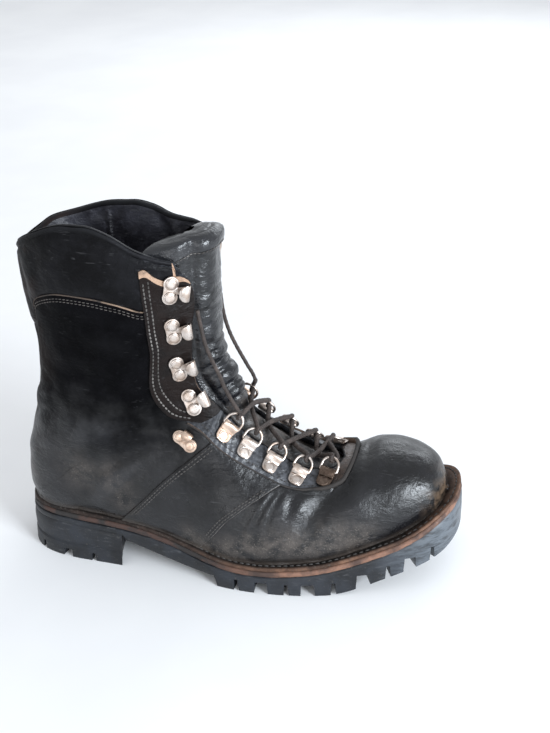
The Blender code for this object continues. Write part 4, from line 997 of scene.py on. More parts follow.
class Shoe:
    """Grid over the whole last from the feather line to the collar, open at the throat."""

    TIP_ROWS = 7

    def __init__(self, rows, columns, lift=0.1, reach=19.0):
        s = self.row_sections(rows, reach)
        self.rows, self.columns = len(s) + self.TIP_ROWS, columns
        parts = [self.one_side(s, side, columns, lift) for side in (1, -1)]
        count = self.rows * columns
        index = np.arange(2 * count).reshape(2, self.rows, columns)
        row_s = np.r_[np.full(self.TIP_ROWS, 0.0), s]
        index[1, row_s <= THROAT_END + 1e-6, -1] = index[0, row_s <= THROAT_END + 1e-6, -1]
        index[1, row_s >= BACK_START - 1e-6, 0] = index[0, row_s >= BACK_START - 1e-6, 0]
        index[:, :self.TIP_ROWS, 0] = index[:, self.TIP_ROWS:self.TIP_ROWS + 1, 0]
        quads = grid_faces(self.rows, columns)
        # side 1 runs from the bottom to the front, so its quads already face outward
        faces = [index[0].ravel()[quads], index[1].ravel()[quads][:, ::-1]]
        used, renumbered = np.unique(np.vstack(faces), return_inverse=True)
        self.faces = renumbered.reshape(-1, 4)
        stack = [np.concatenate([part[k].reshape((-1,) + part[k].shape[2:]) for part in parts])
                 for k in range(3)]
        self.s, self.angle, self.points = (column[used] for column in stack)
        self.row = np.concatenate([np.repeat(np.arange(self.rows), columns)] * 2)[used]
        self.rim = np.zeros(len(index.ravel()), bool)
        self.rim[index[:, :, 0][:, row_s < BACK_START]] = True
        self.rim[index[:, 0, :]] = True
        self.rim = self.rim[used]
        self.soften_tip()

    @staticmethod
    def row_sections(rows, reach):
        """Evenly spaced section numbers with one row where the throat and the back line start."""
        s = np.linspace(0, reach, 600)
        run = run_of(last_point(s, np.radians(75)))
        even = np.interp(np.linspace(0, run[-1], rows), run, s)
        for mark in (THROAT_END, THROAT_END + 0.03, BACK_START):
            even[np.argmin(np.abs(even - mark))] = mark
        return np.sort(even)

    def one_side(self, s, side, columns, lift):
        low = np.where(s >= BACK_START - 1e-6, math.pi, feather_angle(s, side, lift))
        share = np.linspace(0, 1, 161)
        angle = side * (low[:, None] + (throat_angle(s) - low)[:, None] * share)
        real = real_section(s[:, None], angle)
        points = last_point(real, angle)
        even = np.zeros((len(s), columns))
        for i in range(len(s)):
            run = run_of(points[i])
            even[i] = np.interp(np.linspace(0, run[-1], columns), run, angle[i])
        real = real_section(s[:, None], even)
        points = last_point(real, even)
        # rows that close the toe's front, from the feather line up to the first section
        first = points[0]
        middle = np.array([first[0, 0] + 0.9, LAST[0, LAST_COLUMNS.index("mid_y")]])
        t = np.linspace(0, 1, columns)[:, None]
        edge = first[0, :2] + (middle - first[0, :2]) * np.sin(t * math.pi / 2)
        edge = np.c_[edge, feather_z(edge[:, 0]) + lift]
        tips = []
        for k in range(self.TIP_ROWS):
            w = k / self.TIP_ROWS
            row = edge * (1 - w) + first * w
            row[:, 0] += 1.3 * math.sin(math.pi * w) * t[:, 0]
            tips.append(row)
        points = np.concatenate([np.array(tips), points])
        real = np.concatenate([np.repeat(real[:1], self.TIP_ROWS, 0), real])
        even = np.concatenate([np.repeat(even[:1], self.TIP_ROWS, 0), even])
        return real, even, points

    def soften_tip(self):
        """Round the toe's front by averaging neighbouring points."""
        zone = (self.s < 1.3) & ~self.rim
        edges = np.vstack([self.faces[:, [k, (k + 1) % 4]] for k in range(4)])
        edges = np.unique(np.sort(edges, axis=1), axis=0)
        edges = edges[zone[edges].any(axis=1)]
        for _ in range(60):
            total, count = np.zeros_like(self.points), np.zeros(len(self.points))
            for a, b in ((0, 1), (1, 0)):
                np.add.at(total, edges[:, a], self.points[edges[:, b]])
                np.add.at(count, edges[:, a], 1)
            mean = total[zone] / count[zone][:, None]
            pull = 0.5 * (1 - smoothstep(self.s[zone], .8, 1.3))
            self.points[zone] += (mean - self.points[zone]) * pull[:, None]


def leather_marks(s, angle, points, folds):
    """Where the leather is dusty, worn or wet from the welt, for its material, and where it paints a
    highlight on the raised creases, a sheen on the facings and a reddish-brown reflection on the back.
    """
    degrees = np.degrees(np.abs(angle))
    dust = np.zeros(len(points))
    for side in (1, -1):
        gap, _ = distance_to(points, last_point(*line_on_last(DUST_BAND, side)), 40)
        dust = np.maximum(dust, bell(gap, 11.0))
        for place, size in DUST_SPOTS:
            center = last_point(np.array(place[0]), np.array(side * math.radians(place[1])))
            dust = np.maximum(dust, 0.8 * bell(np.linalg.norm(points - center, axis=1), size))
    inside = 1 - smoothstep(outside(s, angle, FACING_EDGE), -0.8, 0.2)
    throat_end = inside * smoothstep(s, 4.76, 4.80) * (1 - smoothstep(s, 5.05, 5.45))
    return {"dust": dust, "wear": bell(points[:, 0] - 302, 9) * bell(points[:, 2] - 56, 12),
            # fold: painted highlight on the raised creases
            "fold": np.clip(folds / 2.0, -1, 1),
            "feather": bell(points[:, 2] - feather_z(points[:, 0]) - 1.0, 2.4),
            # facing: painted sheen on the facing strips
            "suede": throat_end * 0.8, "facing": inside * smoothstep(s, 4.9, 6.0),
            # rear: painted reddish-brown reflection on the back
            "rear": smoothstep(degrees, 120, 170)}


def turned_out(points, normals):
    """How far the lasted edge turns out onto the welt."""
    low = 1 - smoothstep(points[:, 2] - feather_z(points[:, 0]), 0.0, 2.2)
    return unit(normals * np.array([1, 1, 0])) * (low * 0.9)[:, None]


def make_upper(materials):
    shoe = Shoe(*(((300, 121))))
    normals = mesh_normals(shoe.points, shoe.faces)
    height, folds = relief(shoe.s, shoe.angle, shoe.points)
    points = shoe.points + normals * height[:, None] + turned_out(shoe.points, normals)
    pile = Pile()
    pile.add(points, shoe.faces, **leather_marks(shoe.s, shoe.angle, shoe.points, folds))
    pile.piece("upper_leather", "black_leather", materials["leather"], ("upper",))
    for side, label in ((1, "lateral"), (-1, "medial")):
        make_side_panel(side, label, materials)


PANEL_HEIGHT = 1.95         # of the side panel's top over the last
PANEL_WIDTH = 62.0
PANEL_EDGE = ((0.0, 1.9), (0.0, 0.45), (0.25, 0.12), (0.7, 0.0))    # (mm from the edge, drop)


def crossing(angle, value):
    """First angle at which a falling or rising value passes zero."""
    k = int(np.argmax(value >= 0))
    if k == 0:
        return angle[0]
    share = -value[k - 1] / (value[k] - value[k - 1])
    return angle[k - 1] + (angle[k] - angle[k - 1]) * share


def make_side_panel(side, label, materials):
    """The panel between the two seams, laid over the vamp and the quarter, from facing to welt."""
    rows, columns = ((90, 150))
    angle = np.radians(np.linspace(30, 165, 500))
    degrees = np.degrees(angle)
    front = np.interp(degrees, *table(SEAM_FRONT)[::-1])
    rear = np.interp(degrees, *table(SEAM_REAR)[::-1])
    ends = [(distance / PANEL_WIDTH, drop) for distance, drop in PANEL_EDGE]
    across = ends + [(t, 0.0) for t in np.linspace(0.03, 0.97, rows)] + \
        [(1 - t, drop) for t, drop in ends[::-1]]
    facing_at, facing_value = table(FACING_EDGE)
    start_drop = np.array([drop for _, drop in PANEL_EDGE] + [0.0] * columns)
    points, marks, kinds = [], [], []
    for t, drop in across:
        s = front + (rear - front) * t
        first = crossing(angle, degrees - np.interp(s, facing_at, facing_value))
        last = crossing(angle, angle - feather_angle(s, side, 0.1))
        fine = np.linspace(first, last, 240)
        place = np.interp(fine, angle, s)
        run = run_of(last_point(place, side * fine))
        wanted = np.r_[[distance for distance, _ in PANEL_EDGE], np.linspace(1.5, run[-1], columns)]
        turn = np.interp(wanted, run, fine)
        section = np.interp(wanted, run, place)
        base = last_point(section, side * turn)
        height, folds = relief(section, side * turn, base, PANEL_HEIGHT)
        height -= np.maximum(start_drop, drop)
        normal = last_normal(section, side * turn)
        points.append(base + normal * height[:, None] + turned_out(base, normal))
        marks.append(leather_marks(section, side * turn, base, folds))
    count = len(start_drop)
    for i in range(len(across) - 1):
        for j in range(count - 1):
            kinds.append(1 if i < 2 else 2 if (i > len(across) - 4 or j < 2) else 0)
    together = {name: np.concatenate([mark[name] for mark in marks]) for name in marks[0]}
    pile = Pile()
    faces = grid_faces(len(across), count)
    pile.add(np.vstack(points), faces if side < 0 else faces[:, ::-1], kind=kinds, **together)
    pile.piece(f"side_panel_{label}", "black_leather",
               [materials["leather"], materials["pale_edge"], materials["dark_edge"]], sharp=60)


def both_sides(stations, lift, flat=None):
    """A line on the finished leather of each side: points and normals."""
    for side in (1, -1):
        s, angle = line_on_last(stations, side, 10)
        height, _ = relief(s, angle, last_point(s, angle), flat)
        yield even_line(raised(s, angle, height + lift), last_normal(s, angle), 0.8)


# ---- collar pad, lining, stays, tongue ----------------------------------------------------
COLLAR_FRONT = 39.5         # degrees at which the collar ends beside the tongue
PAD_FULLNESS = ((30, 0.5), (45, 1.2), (62, 2.0), (90, 2.8), (130, 2.8), (155, 2.4), (180, 2.2))
PAD_WALL = ((30, 3.0), (45, 3.8), (65, 5.4), (180, 5.8))
# soft dents across the pad: (degrees at the seam, degrees at the rim, side, depth, half width)
PAD_DENTS = ((70, 62, 1, -0.7, 3.0), (92, 84, 1, -0.6, 4.0), (108, 112, 1, 0.5, 5.0),
             (132, 128, 1, -0.8, 4.5), (150, 152, 1, -1.0, 4.0), (60, 66, -1, -1.2, 3.2),
             (84, 80, -1, -0.7, 4.0), (118, 112, -1, -0.9, 4.0), (146, 150, -1, -0.9, 4.0))
RIM_GROOVE = 1.8            # groove below the collar's crown, stitched on the real boot but without stitches here
LEG_RADIUS, LINING_RADIUS = 46.0, 40.0
CREST_RISE = 0.42           # the rolled crest's height as a share of the pad's wall
CREST_COLUMN = 29.0         # middle of the crest among the section's points
OUTER_LOOPS, CREST_LOOPS, INNER_LOOPS = 26, 9, 20       # points of the pad's section
LINING_FOLDS = ((52, 66, -1, -2.6, 2.6), (60, 76, -1, 1.8, 3.4), (88, 82, -1, -1.6, 3.0),
                (112, 110, -1, -1.2, 1.0), (140, 150, -1, -1.8, 4.0), (168, 172, -1, -1.4, 3.4),
                (150, 146, 1, -1.6, 4.0), (120, 126, 1, -1.2, 4.0))


def collar_stations(count):
    turn = np.linspace(math.radians(COLLAR_FRONT), 2 * math.pi - math.radians(COLLAR_FRONT), count)
    return np.where(turn > math.pi, turn - 2 * math.pi, turn)


def dents(table_rows, angle, share, radius):
    """Sum of dents that run from the seam (share 0) to the rim (share 1)."""
    total = np.zeros(np.broadcast(angle, share).shape)
    for low, high, side, depth, width in table_rows:
        middle = side * np.radians(low + (high - low) * share)
        total += depth * bell((angle - middle) * radius, width)
    return total


def pad_sections(angle):
    """Section numbers of the pad's seam and of its rim."""
    degrees = np.degrees(np.abs(angle))
    at, value = table(PAD_SEAM)
    low = np.interp(degrees, value, at)
    return low, np.maximum(collar_edge(angle), low + 0.35)


def pad_loops(count):
    """Closed section loops of the padded collar, one for each station round the leg."""
    angle = collar_stations(count)
    degrees = np.degrees(np.abs(angle))
    low, top = pad_sections(angle)
    wall, fullness = profile(PAD_WALL, degrees), profile(PAD_FULLNESS, degrees)
    spacing = section_spacing(top, angle)
    crown = top - wall * CREST_RISE / spacing
    loops = []
    for u in np.linspace(0, 1, OUTER_LOOPS):
        s = low - 0.04 + (crown - low + 0.04) * u
        below_rim = (crown - s) * spacing
        out = -0.5 + 0.5 * smoothstep(u, 0, .1) + fullness * np.sin(math.pi * u**0.8) ** 0.75
        out -= 1.7 * bell(below_rim - RIM_GROOVE, 0.9)
        out += dents(PAD_DENTS, angle, u, LEG_RADIUS) * math.sin(math.pi * min(u + .15, 1)) ** 0.5
        base = last_point(s, angle)
        out += 0.35 * wander(base, 7.0, 6.0) * math.sin(math.pi * u) + 0.10 * wander(base, 2.6, 7.0)
        loops.append(raised(s, angle, out))
    crest, normal = last_point(crown, angle), last_normal(crown, angle)
    upward = unit(crest - last_point(crown - 0.05, angle))
    middle = crest - normal * (wall / 2)[:, None]
    for t in np.linspace(0, math.pi, CREST_LOOPS + 2)[1:-1]:
        loops.append(middle + normal * (wall / 2 * math.cos(t))[:, None]
                     + upward * (wall * CREST_RISE * math.sin(t))[:, None])
    for u in np.linspace(1, 0, INNER_LOOPS):
        s = low - 0.4 + (crown - low + 0.4) * u
        out = -wall - 1.3 * np.sin(math.pi * u) ** 0.8
        out += 0.5 * bell((crown - s) * spacing - 5.0, 1.0)
        fade = math.sin(math.pi * min(u * .8 + .2, 1)) ** 0.4
        out += dents(LINING_FOLDS, angle, u, LINING_RADIUS) * fade
        base = last_point(s, angle)
        out += 0.5 * wander(base, 9.0, 8.0)
        loops.append(raised(s, angle, out))
    for s, out in ((low - 0.4, -wall * 0.5), (low - 0.2, np.full(count, -0.9))):
        loops.append(raised(s, angle, out))
    return np.stack(loops, 1), angle


def close_ends(loops, rows=7):
    """Shrink the first and last loops to rounded ends."""
    loops = loops.copy()
    for k in range(rows):
        scale = math.sqrt(max(1 - (1 - (k + 0.35) / rows) ** 2.2, 0.0))
        for i in (k, len(loops) - 1 - k):
            center = loops[i].mean(0)
            loops[i] = center + (loops[i] - center) * scale
    return loops


def make_pad(materials):
    loops, angle = pad_loops(520)
    loops = close_ends(loops)
    rows, columns = loops.shape[:2]
    faces = loop_faces(rows, columns)
    ends = {*range(5), *range(rows - 6, rows - 1)}      # raw leather beside the tongue
    inside = OUTER_LOOPS + CREST_LOOPS                  # first column past the crest
    kinds = [1 if f // columns in ends else 2 if f % columns >= inside else 0
             for f in range(len(faces) - 2)] + [1, 1]
    crown = bell(np.arange(columns) - CREST_COLUMN, 4.0)        # the rolled rim is lightened through the fold mark: painted highlight
    # the rear mark paints a reddish-brown reflection on the collar's back
    rear = np.repeat(smoothstep(np.degrees(np.abs(angle)), 120, 170), columns)
    pile = Pile()
    pile.add(loops, faces, kind=kinds, rear=rear, fold=np.tile(crown, rows))
    pad = pile.piece("collar_pad", "black_leather",
                     [materials["pad"], materials["edge"], materials["lining"]], outward=True)


def make_lining(materials):
    shoe = Shoe(90, 44, lift=-1.0, reach=17.9)
    normals = mesh_normals(shoe.points, shoe.faces)
    depth = -3.1 + 0.5 * wander(shoe.points, 12.0, 9.0)
    pile = Pile()
    pile.add(shoe.points + normals * depth[:, None], shoe.faces[:, ::-1])
    pile.piece("lining", "black_leather", materials["lining"])


STAY_START = 9.8
STAY_BACK_ANGLE = ((9.0, 28.0), (9.8, 36.0), (11.3, 46.0), (12.7, 51.0), (14.5, 59.0), (16.0, 64.0),
                   (19.0, 65.0))
STAY_TOP = ((0.0, 18.1), (0.08, 18.3), (0.25, 18.32), (0.5, 18.12), (0.7, 18.25), (0.88, 18.48),
            (1.0, 18.36))
STAY_GROOVES = (1.7, 4.3)   # rows of stitches, mm from the rear edge
STAY_UNDER = GAP + .1       # the strip's two faces over the last
STAY_OVER = GAP + .25 + STAY_THICK


def stay_place(s, share, side):
    """Real section number and angle on a stay; share runs from the throat to the rear edge."""
    low = throat_angle(s) + 0.012
    high = np.radians(profile(STAY_BACK_ANGLE, s))
    angle = side * (low + (high - low) * share)
    return real_section(s, angle), angle, (high - low) * LEG_RADIUS


def make_stay(side, name, materials):
    rows, columns = 110, 26
    share = np.r_[0.0, 0.006, 0.02, np.linspace(0.05, 0.95, columns - 6), 0.98, 0.994, 1.0]
    round_top = np.zeros(columns)
    round_top[[0, -1]], round_top[[1, -2]] = 0.45, 0.12
    count = 2 * columns
    across = np.r_[share, share[::-1]]      # over the top, then back underneath
    heights = np.r_[STAY_OVER - round_top, np.full(columns, STAY_UNDER)]
    is_top = np.arange(count) < columns
    end = profile(STAY_TOP, across)
    points = np.zeros((rows, count, 3))
    for i, t in enumerate(np.linspace(0, 1, rows)):
        s = STAY_START + (end - STAY_START) * t
        # the foot of the strip is rounded off toward its rear edge
        s = np.maximum(s, STAY_START + 0.9 * np.clip(across - 0.2, 0, 1) ** 2 * (1 - t) ** 2)
        real, angle, width = stay_place(s, across, side)
        base, normal = last_point(real, angle), last_normal(real, angle)
        behind = (1 - across) * width
        ripple = 0.22 * wander(base, 5.0, 10.0) + 0.10 * wander(base * np.array([1, 1, 2.5]), 2.2, 11.0)
        for groove in STAY_GROOVES:
            ripple -= 0.35 * bell(behind - groove, 0.55)
        ripple += 0.30 * bell(behind - sum(STAY_GROOVES) / 2, 0.8)
        height = heights + np.where(is_top, ripple * (0 < i < rows - 1), 0)
        height -= np.where(is_top, (0.0, 0.15, 0.5)[max(i - rows + 3, 0)], 0)       # worn top edge
        points[i] = base + normal * height[:, None]
    faces = loop_faces(rows, count, caps=False)
    raw_columns = {0, count - 1, count - 2}          # the front edge
    kinds = [1 if f % count in raw_columns or f // count >= rows - 4 else 0 for f in range(len(faces))]
    for row, kind in ((0, 0), (rows - 1, 1)):
        for k in range(columns - 1):
            a, b = row * count + k, row * count + count - 1 - k
            cap = (a, a + 1, b - 1, b)
            faces.append(cap if row else cap[::-1])
            kinds.append(kind)
    pile = Pile()
    pile.add(points, faces, kind=kinds)
    pile.piece(name + "_leather", "black_leather", [materials["stay"], materials["edge"]], (name,),
               sharp=50, outward=True)


TONGUE_START, TONGUE_END = 4.75, 17.75
TONGUE_HALF_WIDTH = ((4.7, 12.0), (5.5, 24.0), (7.0, 30.0), (9.0, 36.0), (12.0, 48.0), (15.5, 54.0),
                     (17.0, 62.0), (19.0, 66.0))
TONGUE_RISE = ((4.7, -7.0), (5.6, -1.5), (7.0, 0.5), (8.0, 1.5), (8.9, 6.0), (9.8, 9.0), (10.8, 7.5),
               (12.5, 4.5), (15.0, 4.0), (19.0, 5.0))
# folds across the tongue: (section number, slant, height, half width)
TONGUE_FOLDS = ((16.2, .05, -0.5, 1.3), (15.75, -.10, -1.0, 1.5), (15.35, .12, 0.8, 2.2),
                (15.0, .16, -1.3, 1.7), (14.5, -.08, -0.9, 1.5), (14.1, .06, 0.9, 2.6),
                (13.65, .10, -1.7, 2.0), (13.1, -.14, -1.0, 1.5), (12.65, .05, 1.2, 2.6),
                (12.15, .16, -2.2, 2.4), (11.55, -.10, -1.2, 1.6), (11.0, .08, 1.4, 3.4),
                (10.35, .14, -2.0, 2.0), (9.85, -.12, -1.0, 1.4), (9.3, .08, -1.5, 1.8),
                (8.6, .0, -1.1, 1.8), (7.9, .1, -0.8, 1.6), (7.2, -.1, -0.8, 1.6))
TONGUE_BINDING = 16.98      # section number where the top binding starts
# radiating wrinkles on the bulge at the bend: (section, degrees) to (section, degrees)
TONGUE_STARS = (((10.0, 0), (11.3, 6)), ((10.1, 4), (11.2, 14)), ((9.9, -4), (11.1, -10)),
                ((10.3, 8), (10.9, 20)), ((10.0, -8), (10.7, -20)), ((12.6, 4), (13.4, 12)),
                ((13.9, -4), (14.6, -14)), ((15.1, 6), (15.9, 16)))


def tongue_height(s, share, angle, base, bare):
    """Height of the tongue's outer leather over its CAD surface, less where the facings cover it."""
    spacing = section_spacing(s, angle)
    height = 0.5 * wander(base, 10.0, 12.0) + 0.22 * wander(base, 4.0, 13.0)
    waver = 0.10 * wander(base * np.array([0.6, 0.6, 0.2]), 12.0, 14.0)
    for place, slant, depth, width in TONGUE_FOLDS:
        gap = (s - place - slant * share - waver) * spacing
        height += depth * (0.75 if place < 12.4 else 0.45) * bell(gap, width)
    height += 0.14 * wander(base * np.array([0.5, 0.5, 2.4]), 2.6, 15.0)
    for ends in TONGUE_STARS:
        gap, along = distance_to(base, raised(*line_on_last(ends, 1, 5), 3.0), 8.0)
        height -= 0.9 * bell(gap, 1.0) * np.sin(math.pi * along) ** 0.6
    binding = (s - TONGUE_BINDING) * spacing
    height += 0.7 * smoothstep(binding, -0.4, 0.3)
    height -= 0.5 * bell(binding - 1.5, 0.6)
    height += 2.3 * np.sqrt(np.clip(1 - ((binding - 6.0) / 4.4) ** 2, 0, 1))
    return height * (0.15 + 0.85 * smoothstep(bare, 0.0, .5))


def tongue_base(s, share):
    """CAD surface of the tongue's outer side at one section number."""
    half = math.radians(float(profile(TONGUE_HALF_WIDTH, s)))
    angle = half * share
    edge = max(float(throat_angle(max(s, THROAT_END + .05))) - math.radians(6.0), 0.02)
    cover = np.clip(np.abs(angle) / edge, 0, 1) ** 2
    padded = np.clip((s - 16.6) / 0.8, 0, 1) * np.clip((np.abs(angle) - 0.6) / 0.3, 0, 1)
    depth_under = WALL + (COLLAR_WALL - WALL) * padded + 1.6
    if s < THROAT_END + .3:
        rise = np.full(len(share), -depth_under.max() - 1.0)
    else:
        rise = float(profile(TONGUE_RISE, s)) * (1 - cover) - depth_under * cover
    fall = np.where(share < 0, 0.9 * share**2 / (np.abs(share) + 0.15), -0.1 * share**2)
    section = np.full(len(share), s) - np.clip((s - 15.5) / 2.2, 0, 1) * fall
    point, normal = last_point(section, angle), last_normal(section, angle)
    return section, angle, point + normal * rise[:, None], normal, 1 - cover


def make_tongue(materials):
    rows, columns = ((240, 84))
    share = np.sin(np.linspace(-math.pi / 2, math.pi / 2, columns) * 0.86) / math.sin(math.pi / 2 * .86)
    loops = []
    for s in np.linspace(TONGUE_START, TONGUE_END, rows):
        section, angle, base, normal, bare = tongue_base(s, share)
        height = tongue_height(section, share, angle, base, bare)
        height *= smoothstep(s, THROAT_END + 0.2, THROAT_END + 1.0)
        thick = TONGUE_THICK * (0.55 + 0.45 * (1 - np.abs(share) ** 6))
        top = base + normal * height[:, None]
        under = base - normal * thick[:, None]
        rim = [(top[k] + under[k]) / 2 + (top[k] - top[k + (1 if k == 0 else -1)]) * 0.5
               for k in (len(share) - 1, 0)]
        loops.append(np.vstack([top, rim[0][None], under[::-1][::3], rim[1][None]]))
    loops = close_ends(np.array(loops), 6)
    run = np.linspace(TONGUE_START, TONGUE_END, rows)
    # roll lightens the tongue's top binding roll through the fold mark: painted highlight
    dusty, roll = 1 - smoothstep(run, 8.6, 9.6), smoothstep(run, TONGUE_BINDING, TONGUE_BINDING + .2)
    pile = Pile()
    pile.add(loops, loop_faces(*loops.shape[:2]), dust=np.repeat(dusty, loops.shape[1]),
             fold=np.repeat(roll, loops.shape[1]))
    tongue = pile.piece("tongue_pad", "black_leather", materials["tongue"], ("tongue",), outward=True)


# ---- hardware -----------------------------------------------------------------------------
CLIP_TURN = 14.0
CLIP_FOLD_X = 2.6
CLIP_FOLD_RADIUS = 2.4
RING_TILT = math.radians(24)
PLATE_THICK = 1.1
STRAP_THICK = 0.95


def place_on_last(x, z, side):
    """Section number and angle of the surface point seen at (x, z) from one side."""
    s, angle = np.meshgrid(np.linspace(5, 19, 141), np.linspace(0.1, 2.0, 96), indexing="ij")
    span_s, span_a = 0.1, 0.02
    best = None
    for _ in range(3):
        point = last_point(s, side * angle)
        miss = (point[..., 0] - x) ** 2 + (point[..., 2] - z) ** 2
        k = np.unravel_index(int(np.argmin(miss)), miss.shape)
        best = (float(s[k]), float(angle[k]))
        s, angle = np.meshgrid(best[0] + np.linspace(-span_s, span_s, 21),
                               best[1] + np.linspace(-span_a, span_a, 21), indexing="ij")
        span_s, span_a = span_s / 10, span_a / 10
    return best[0], side * best[1]


def surface_frame(s, angle, lift, turn):
    """Matrix on the surface: x toward the throat, y up along the boot, z outward, then a turn."""
    s, angle = np.array(s), np.array(angle)
    point, normal = last_point(s, angle), last_normal(s, angle)
    toward = last_point(s, angle - np.sign(angle) * 0.03) - point
    toward -= normal * toward.dot(normal)
    toward /= np.linalg.norm(toward)
    up = np.cross(normal, toward)
    up *= np.sign(up[2])
    made = np.eye(4)
    made[:3] = np.stack([toward, up, normal, point + normal * lift], -1)
    return made @ np.array(Matrix.Rotation(math.radians(turn), 4, "Z"))


def clip_frame(number, side):
    s = CLIP_SECTIONS[number]
    angle = float(throat_angle(s)) + math.radians(CLIP_ANGLE_BEYOND_THROAT)
    return surface_frame(s, side * angle, GAP + .3, -CLIP_TURN)


def placed(matrix, points):
    """Points of a local frame, moved by its matrix."""
    points = np.asarray(points, float)
    return points @ matrix[:3, :3].T + matrix[:3, 3]


def add_plate(pile, matrix, outline, low, high, bevel=0.3):
    """Flat plate with softened edges from an outline of the matrix's xy plane."""
    outline = np.asarray(outline, float)
    inward = unit(outline.mean(0) - outline)
    rings = [np.c_[outline + inward * inset, np.full(len(outline), z)]
             for inset, z in ((bevel, low), (0.0, low + bevel), (0.0, high - bevel),
                              (bevel * .3, high - bevel * .3), (bevel, high))]
    points = placed(matrix, np.vstack(rings))
    pile.add(points, loop_faces(len(rings), len(outline)))


def add_rivet(pile, matrix, center, radius, base, rise, dish, sides=28):
    """Round rivet head with a soft shoulder and a shallow dish."""
    rows = ((1.07, -0.15), (1.0, 0.02), (1.0, rise * 0.5), (0.94, rise * 0.9), (0.86, rise),
            (0.79, rise - dish * 1.1), (0.72, rise - dish * .4), (0.40, rise - dish * .2),
            (0.1, rise - dish * .2))
    # dark rows at the head's rim and dish edge, for the groove mark: painted shade with tarnish
    dark = (1.0, 1.0, 0.35, 0.0, 0.0, 0.8, 0.15, 0.0, 0.0)
    turn = np.linspace(0, 2 * math.pi, sides, endpoint=False)
    points = [np.stack([center[0] + radius * r * np.cos(turn), center[1] + radius * r * np.sin(turn),
                        np.full(sides, base + z)], -1) for r, z in rows]
    pile.add(placed(matrix, np.vstack(points)), loop_faces(len(rows), sides),
             groove=np.repeat(dark, sides))


def lobed_outline(centers, radius, sides=18):
    """Outline of a plate with a round lobe at each of two centers."""
    (ax, ay), (bx, by) = centers
    heading = math.atan2(by - ay, bx - ax)
    points = []
    for (cx, cy), base in (((bx, by), heading), ((ax, ay), heading + math.pi)):
        for k in range(sides):
            turn = base - 2.0 + 4.0 * k / (sides - 1)
            points.append((cx + radius * math.cos(turn), cy + radius * math.sin(turn)))
    return points


def add_strap(pile, matrix, line, halves, thick):
    """Bent strip: a line in the matrix's xz plane with a half width at each point."""
    line = np.asarray(line, float)
    rows = spline(np.c_[line, np.asarray(halves, float)], 6)
    path = np.stack([rows[:, 0], np.zeros(len(rows)), rows[:, 1]], -1)
    tangent = tangents_of(path)
    normals = np.stack([-tangent[:, 2], np.zeros(len(path)), tangent[:, 0]], -1)
    section = np.array([(1, thick / 2 * .55), (.92, thick / 2), (.4, thick / 2), (-.4, thick / 2),
                        (-.92, thick / 2), (-1, thick / 2 * .55), (-1, -thick / 2 * .55),
                        (-.92, -thick / 2), (.92, -thick / 2), (1, -thick / 2 * .55)])
    points, faces = sweep(path, section, normals, widths=rows[:, 2])
    # darker inside the curl and at its root, for the groove mark: painted shade with tarnish
    inside = np.array([0.3, 0, 0, 0, 0, 0.3, 0.1, 0.0, 0.0, 0.1])
    curled = smoothstep(path[:, 2] - path[0, 2], 0.4, 1.6)[:, None]
    low = bell(path[:, 2] - path[0, 2], 0.4)[:, None] * 0.2
    pile.add(placed(matrix, points), faces, groove=(inside * curled + low).ravel())


def hook_fold(neck, wide, reach, height):
    """Side line and half widths of the folded hook: root, neck, bend and rounded paddle."""
    r = height / 2 - 0.2
    line = [(-1.2, 0.6), (1.6, 0.65), (reach - 3.6, 0.7), (reach - 1.8, 0.85)]
    halves = [neck * 1.1, neck, neck, neck * 1.15]
    for k, turn in enumerate(np.radians((-60, -32, -4, 26, 58, 92))):
        line.append((reach + r * math.cos(turn) - 0.4, r + 0.85 + r * math.sin(turn)))
        halves.append(wide * (0.60, 0.84, 0.97, 1.0, 1.0, 0.97)[k])
    top = line[-1]
    for back, share in ((1.3, 0.90), (2.5, 0.74), (3.3, 0.50), (3.6, 0.28)):
        line.append((top[0] - back, top[1] - 0.09 * back**2))
        halves.append(wide * share)
    return line, halves


# Hooks: the two rivets' places, the plate's radius and underside, each rivet's radius, rise and
# dish, the folded hook's neck, width, reach and height, and how far it sits above the middle
SPEED_HOOK = (((-1.5, -4.5), (-1.5, 4.5)), 4.9, -0.5, (4.0, 0.9, 0.22), (2.3, 5.3, 7.4, 5.8), 0.0)
ANKLE_HOOK = (((0.0, -4.4), (0.0, 4.4)), 4.6, -0.7, (3.6, 0.7, 0.15), (2.4, 3.5, 5.2, 5.0), 1.0)


def make_hook(name, kind, x, z, turn, lift, side, metal):
    centers, radius, underside, (head, rise, dish), fold, above = kind
    s, angle = place_on_last(x, z, side)
    matrix = surface_frame(s, angle, lift, turn)
    pile = Pile()
    add_plate(pile, matrix, lobed_outline(centers, radius), underside, PLATE_THICK)
    for center in centers:
        add_rivet(pile, matrix, center, head, PLATE_THICK - .1, rise, dish)
    shifted = matrix.copy()
    shifted[:3, 3] += matrix[:3, 1] * above
    add_strap(pile, shifted, *hook_fold(*fold), STRAP_THICK)
    pile.piece(name + "_nickel", "nickel", metal, (name,), sharp=50)


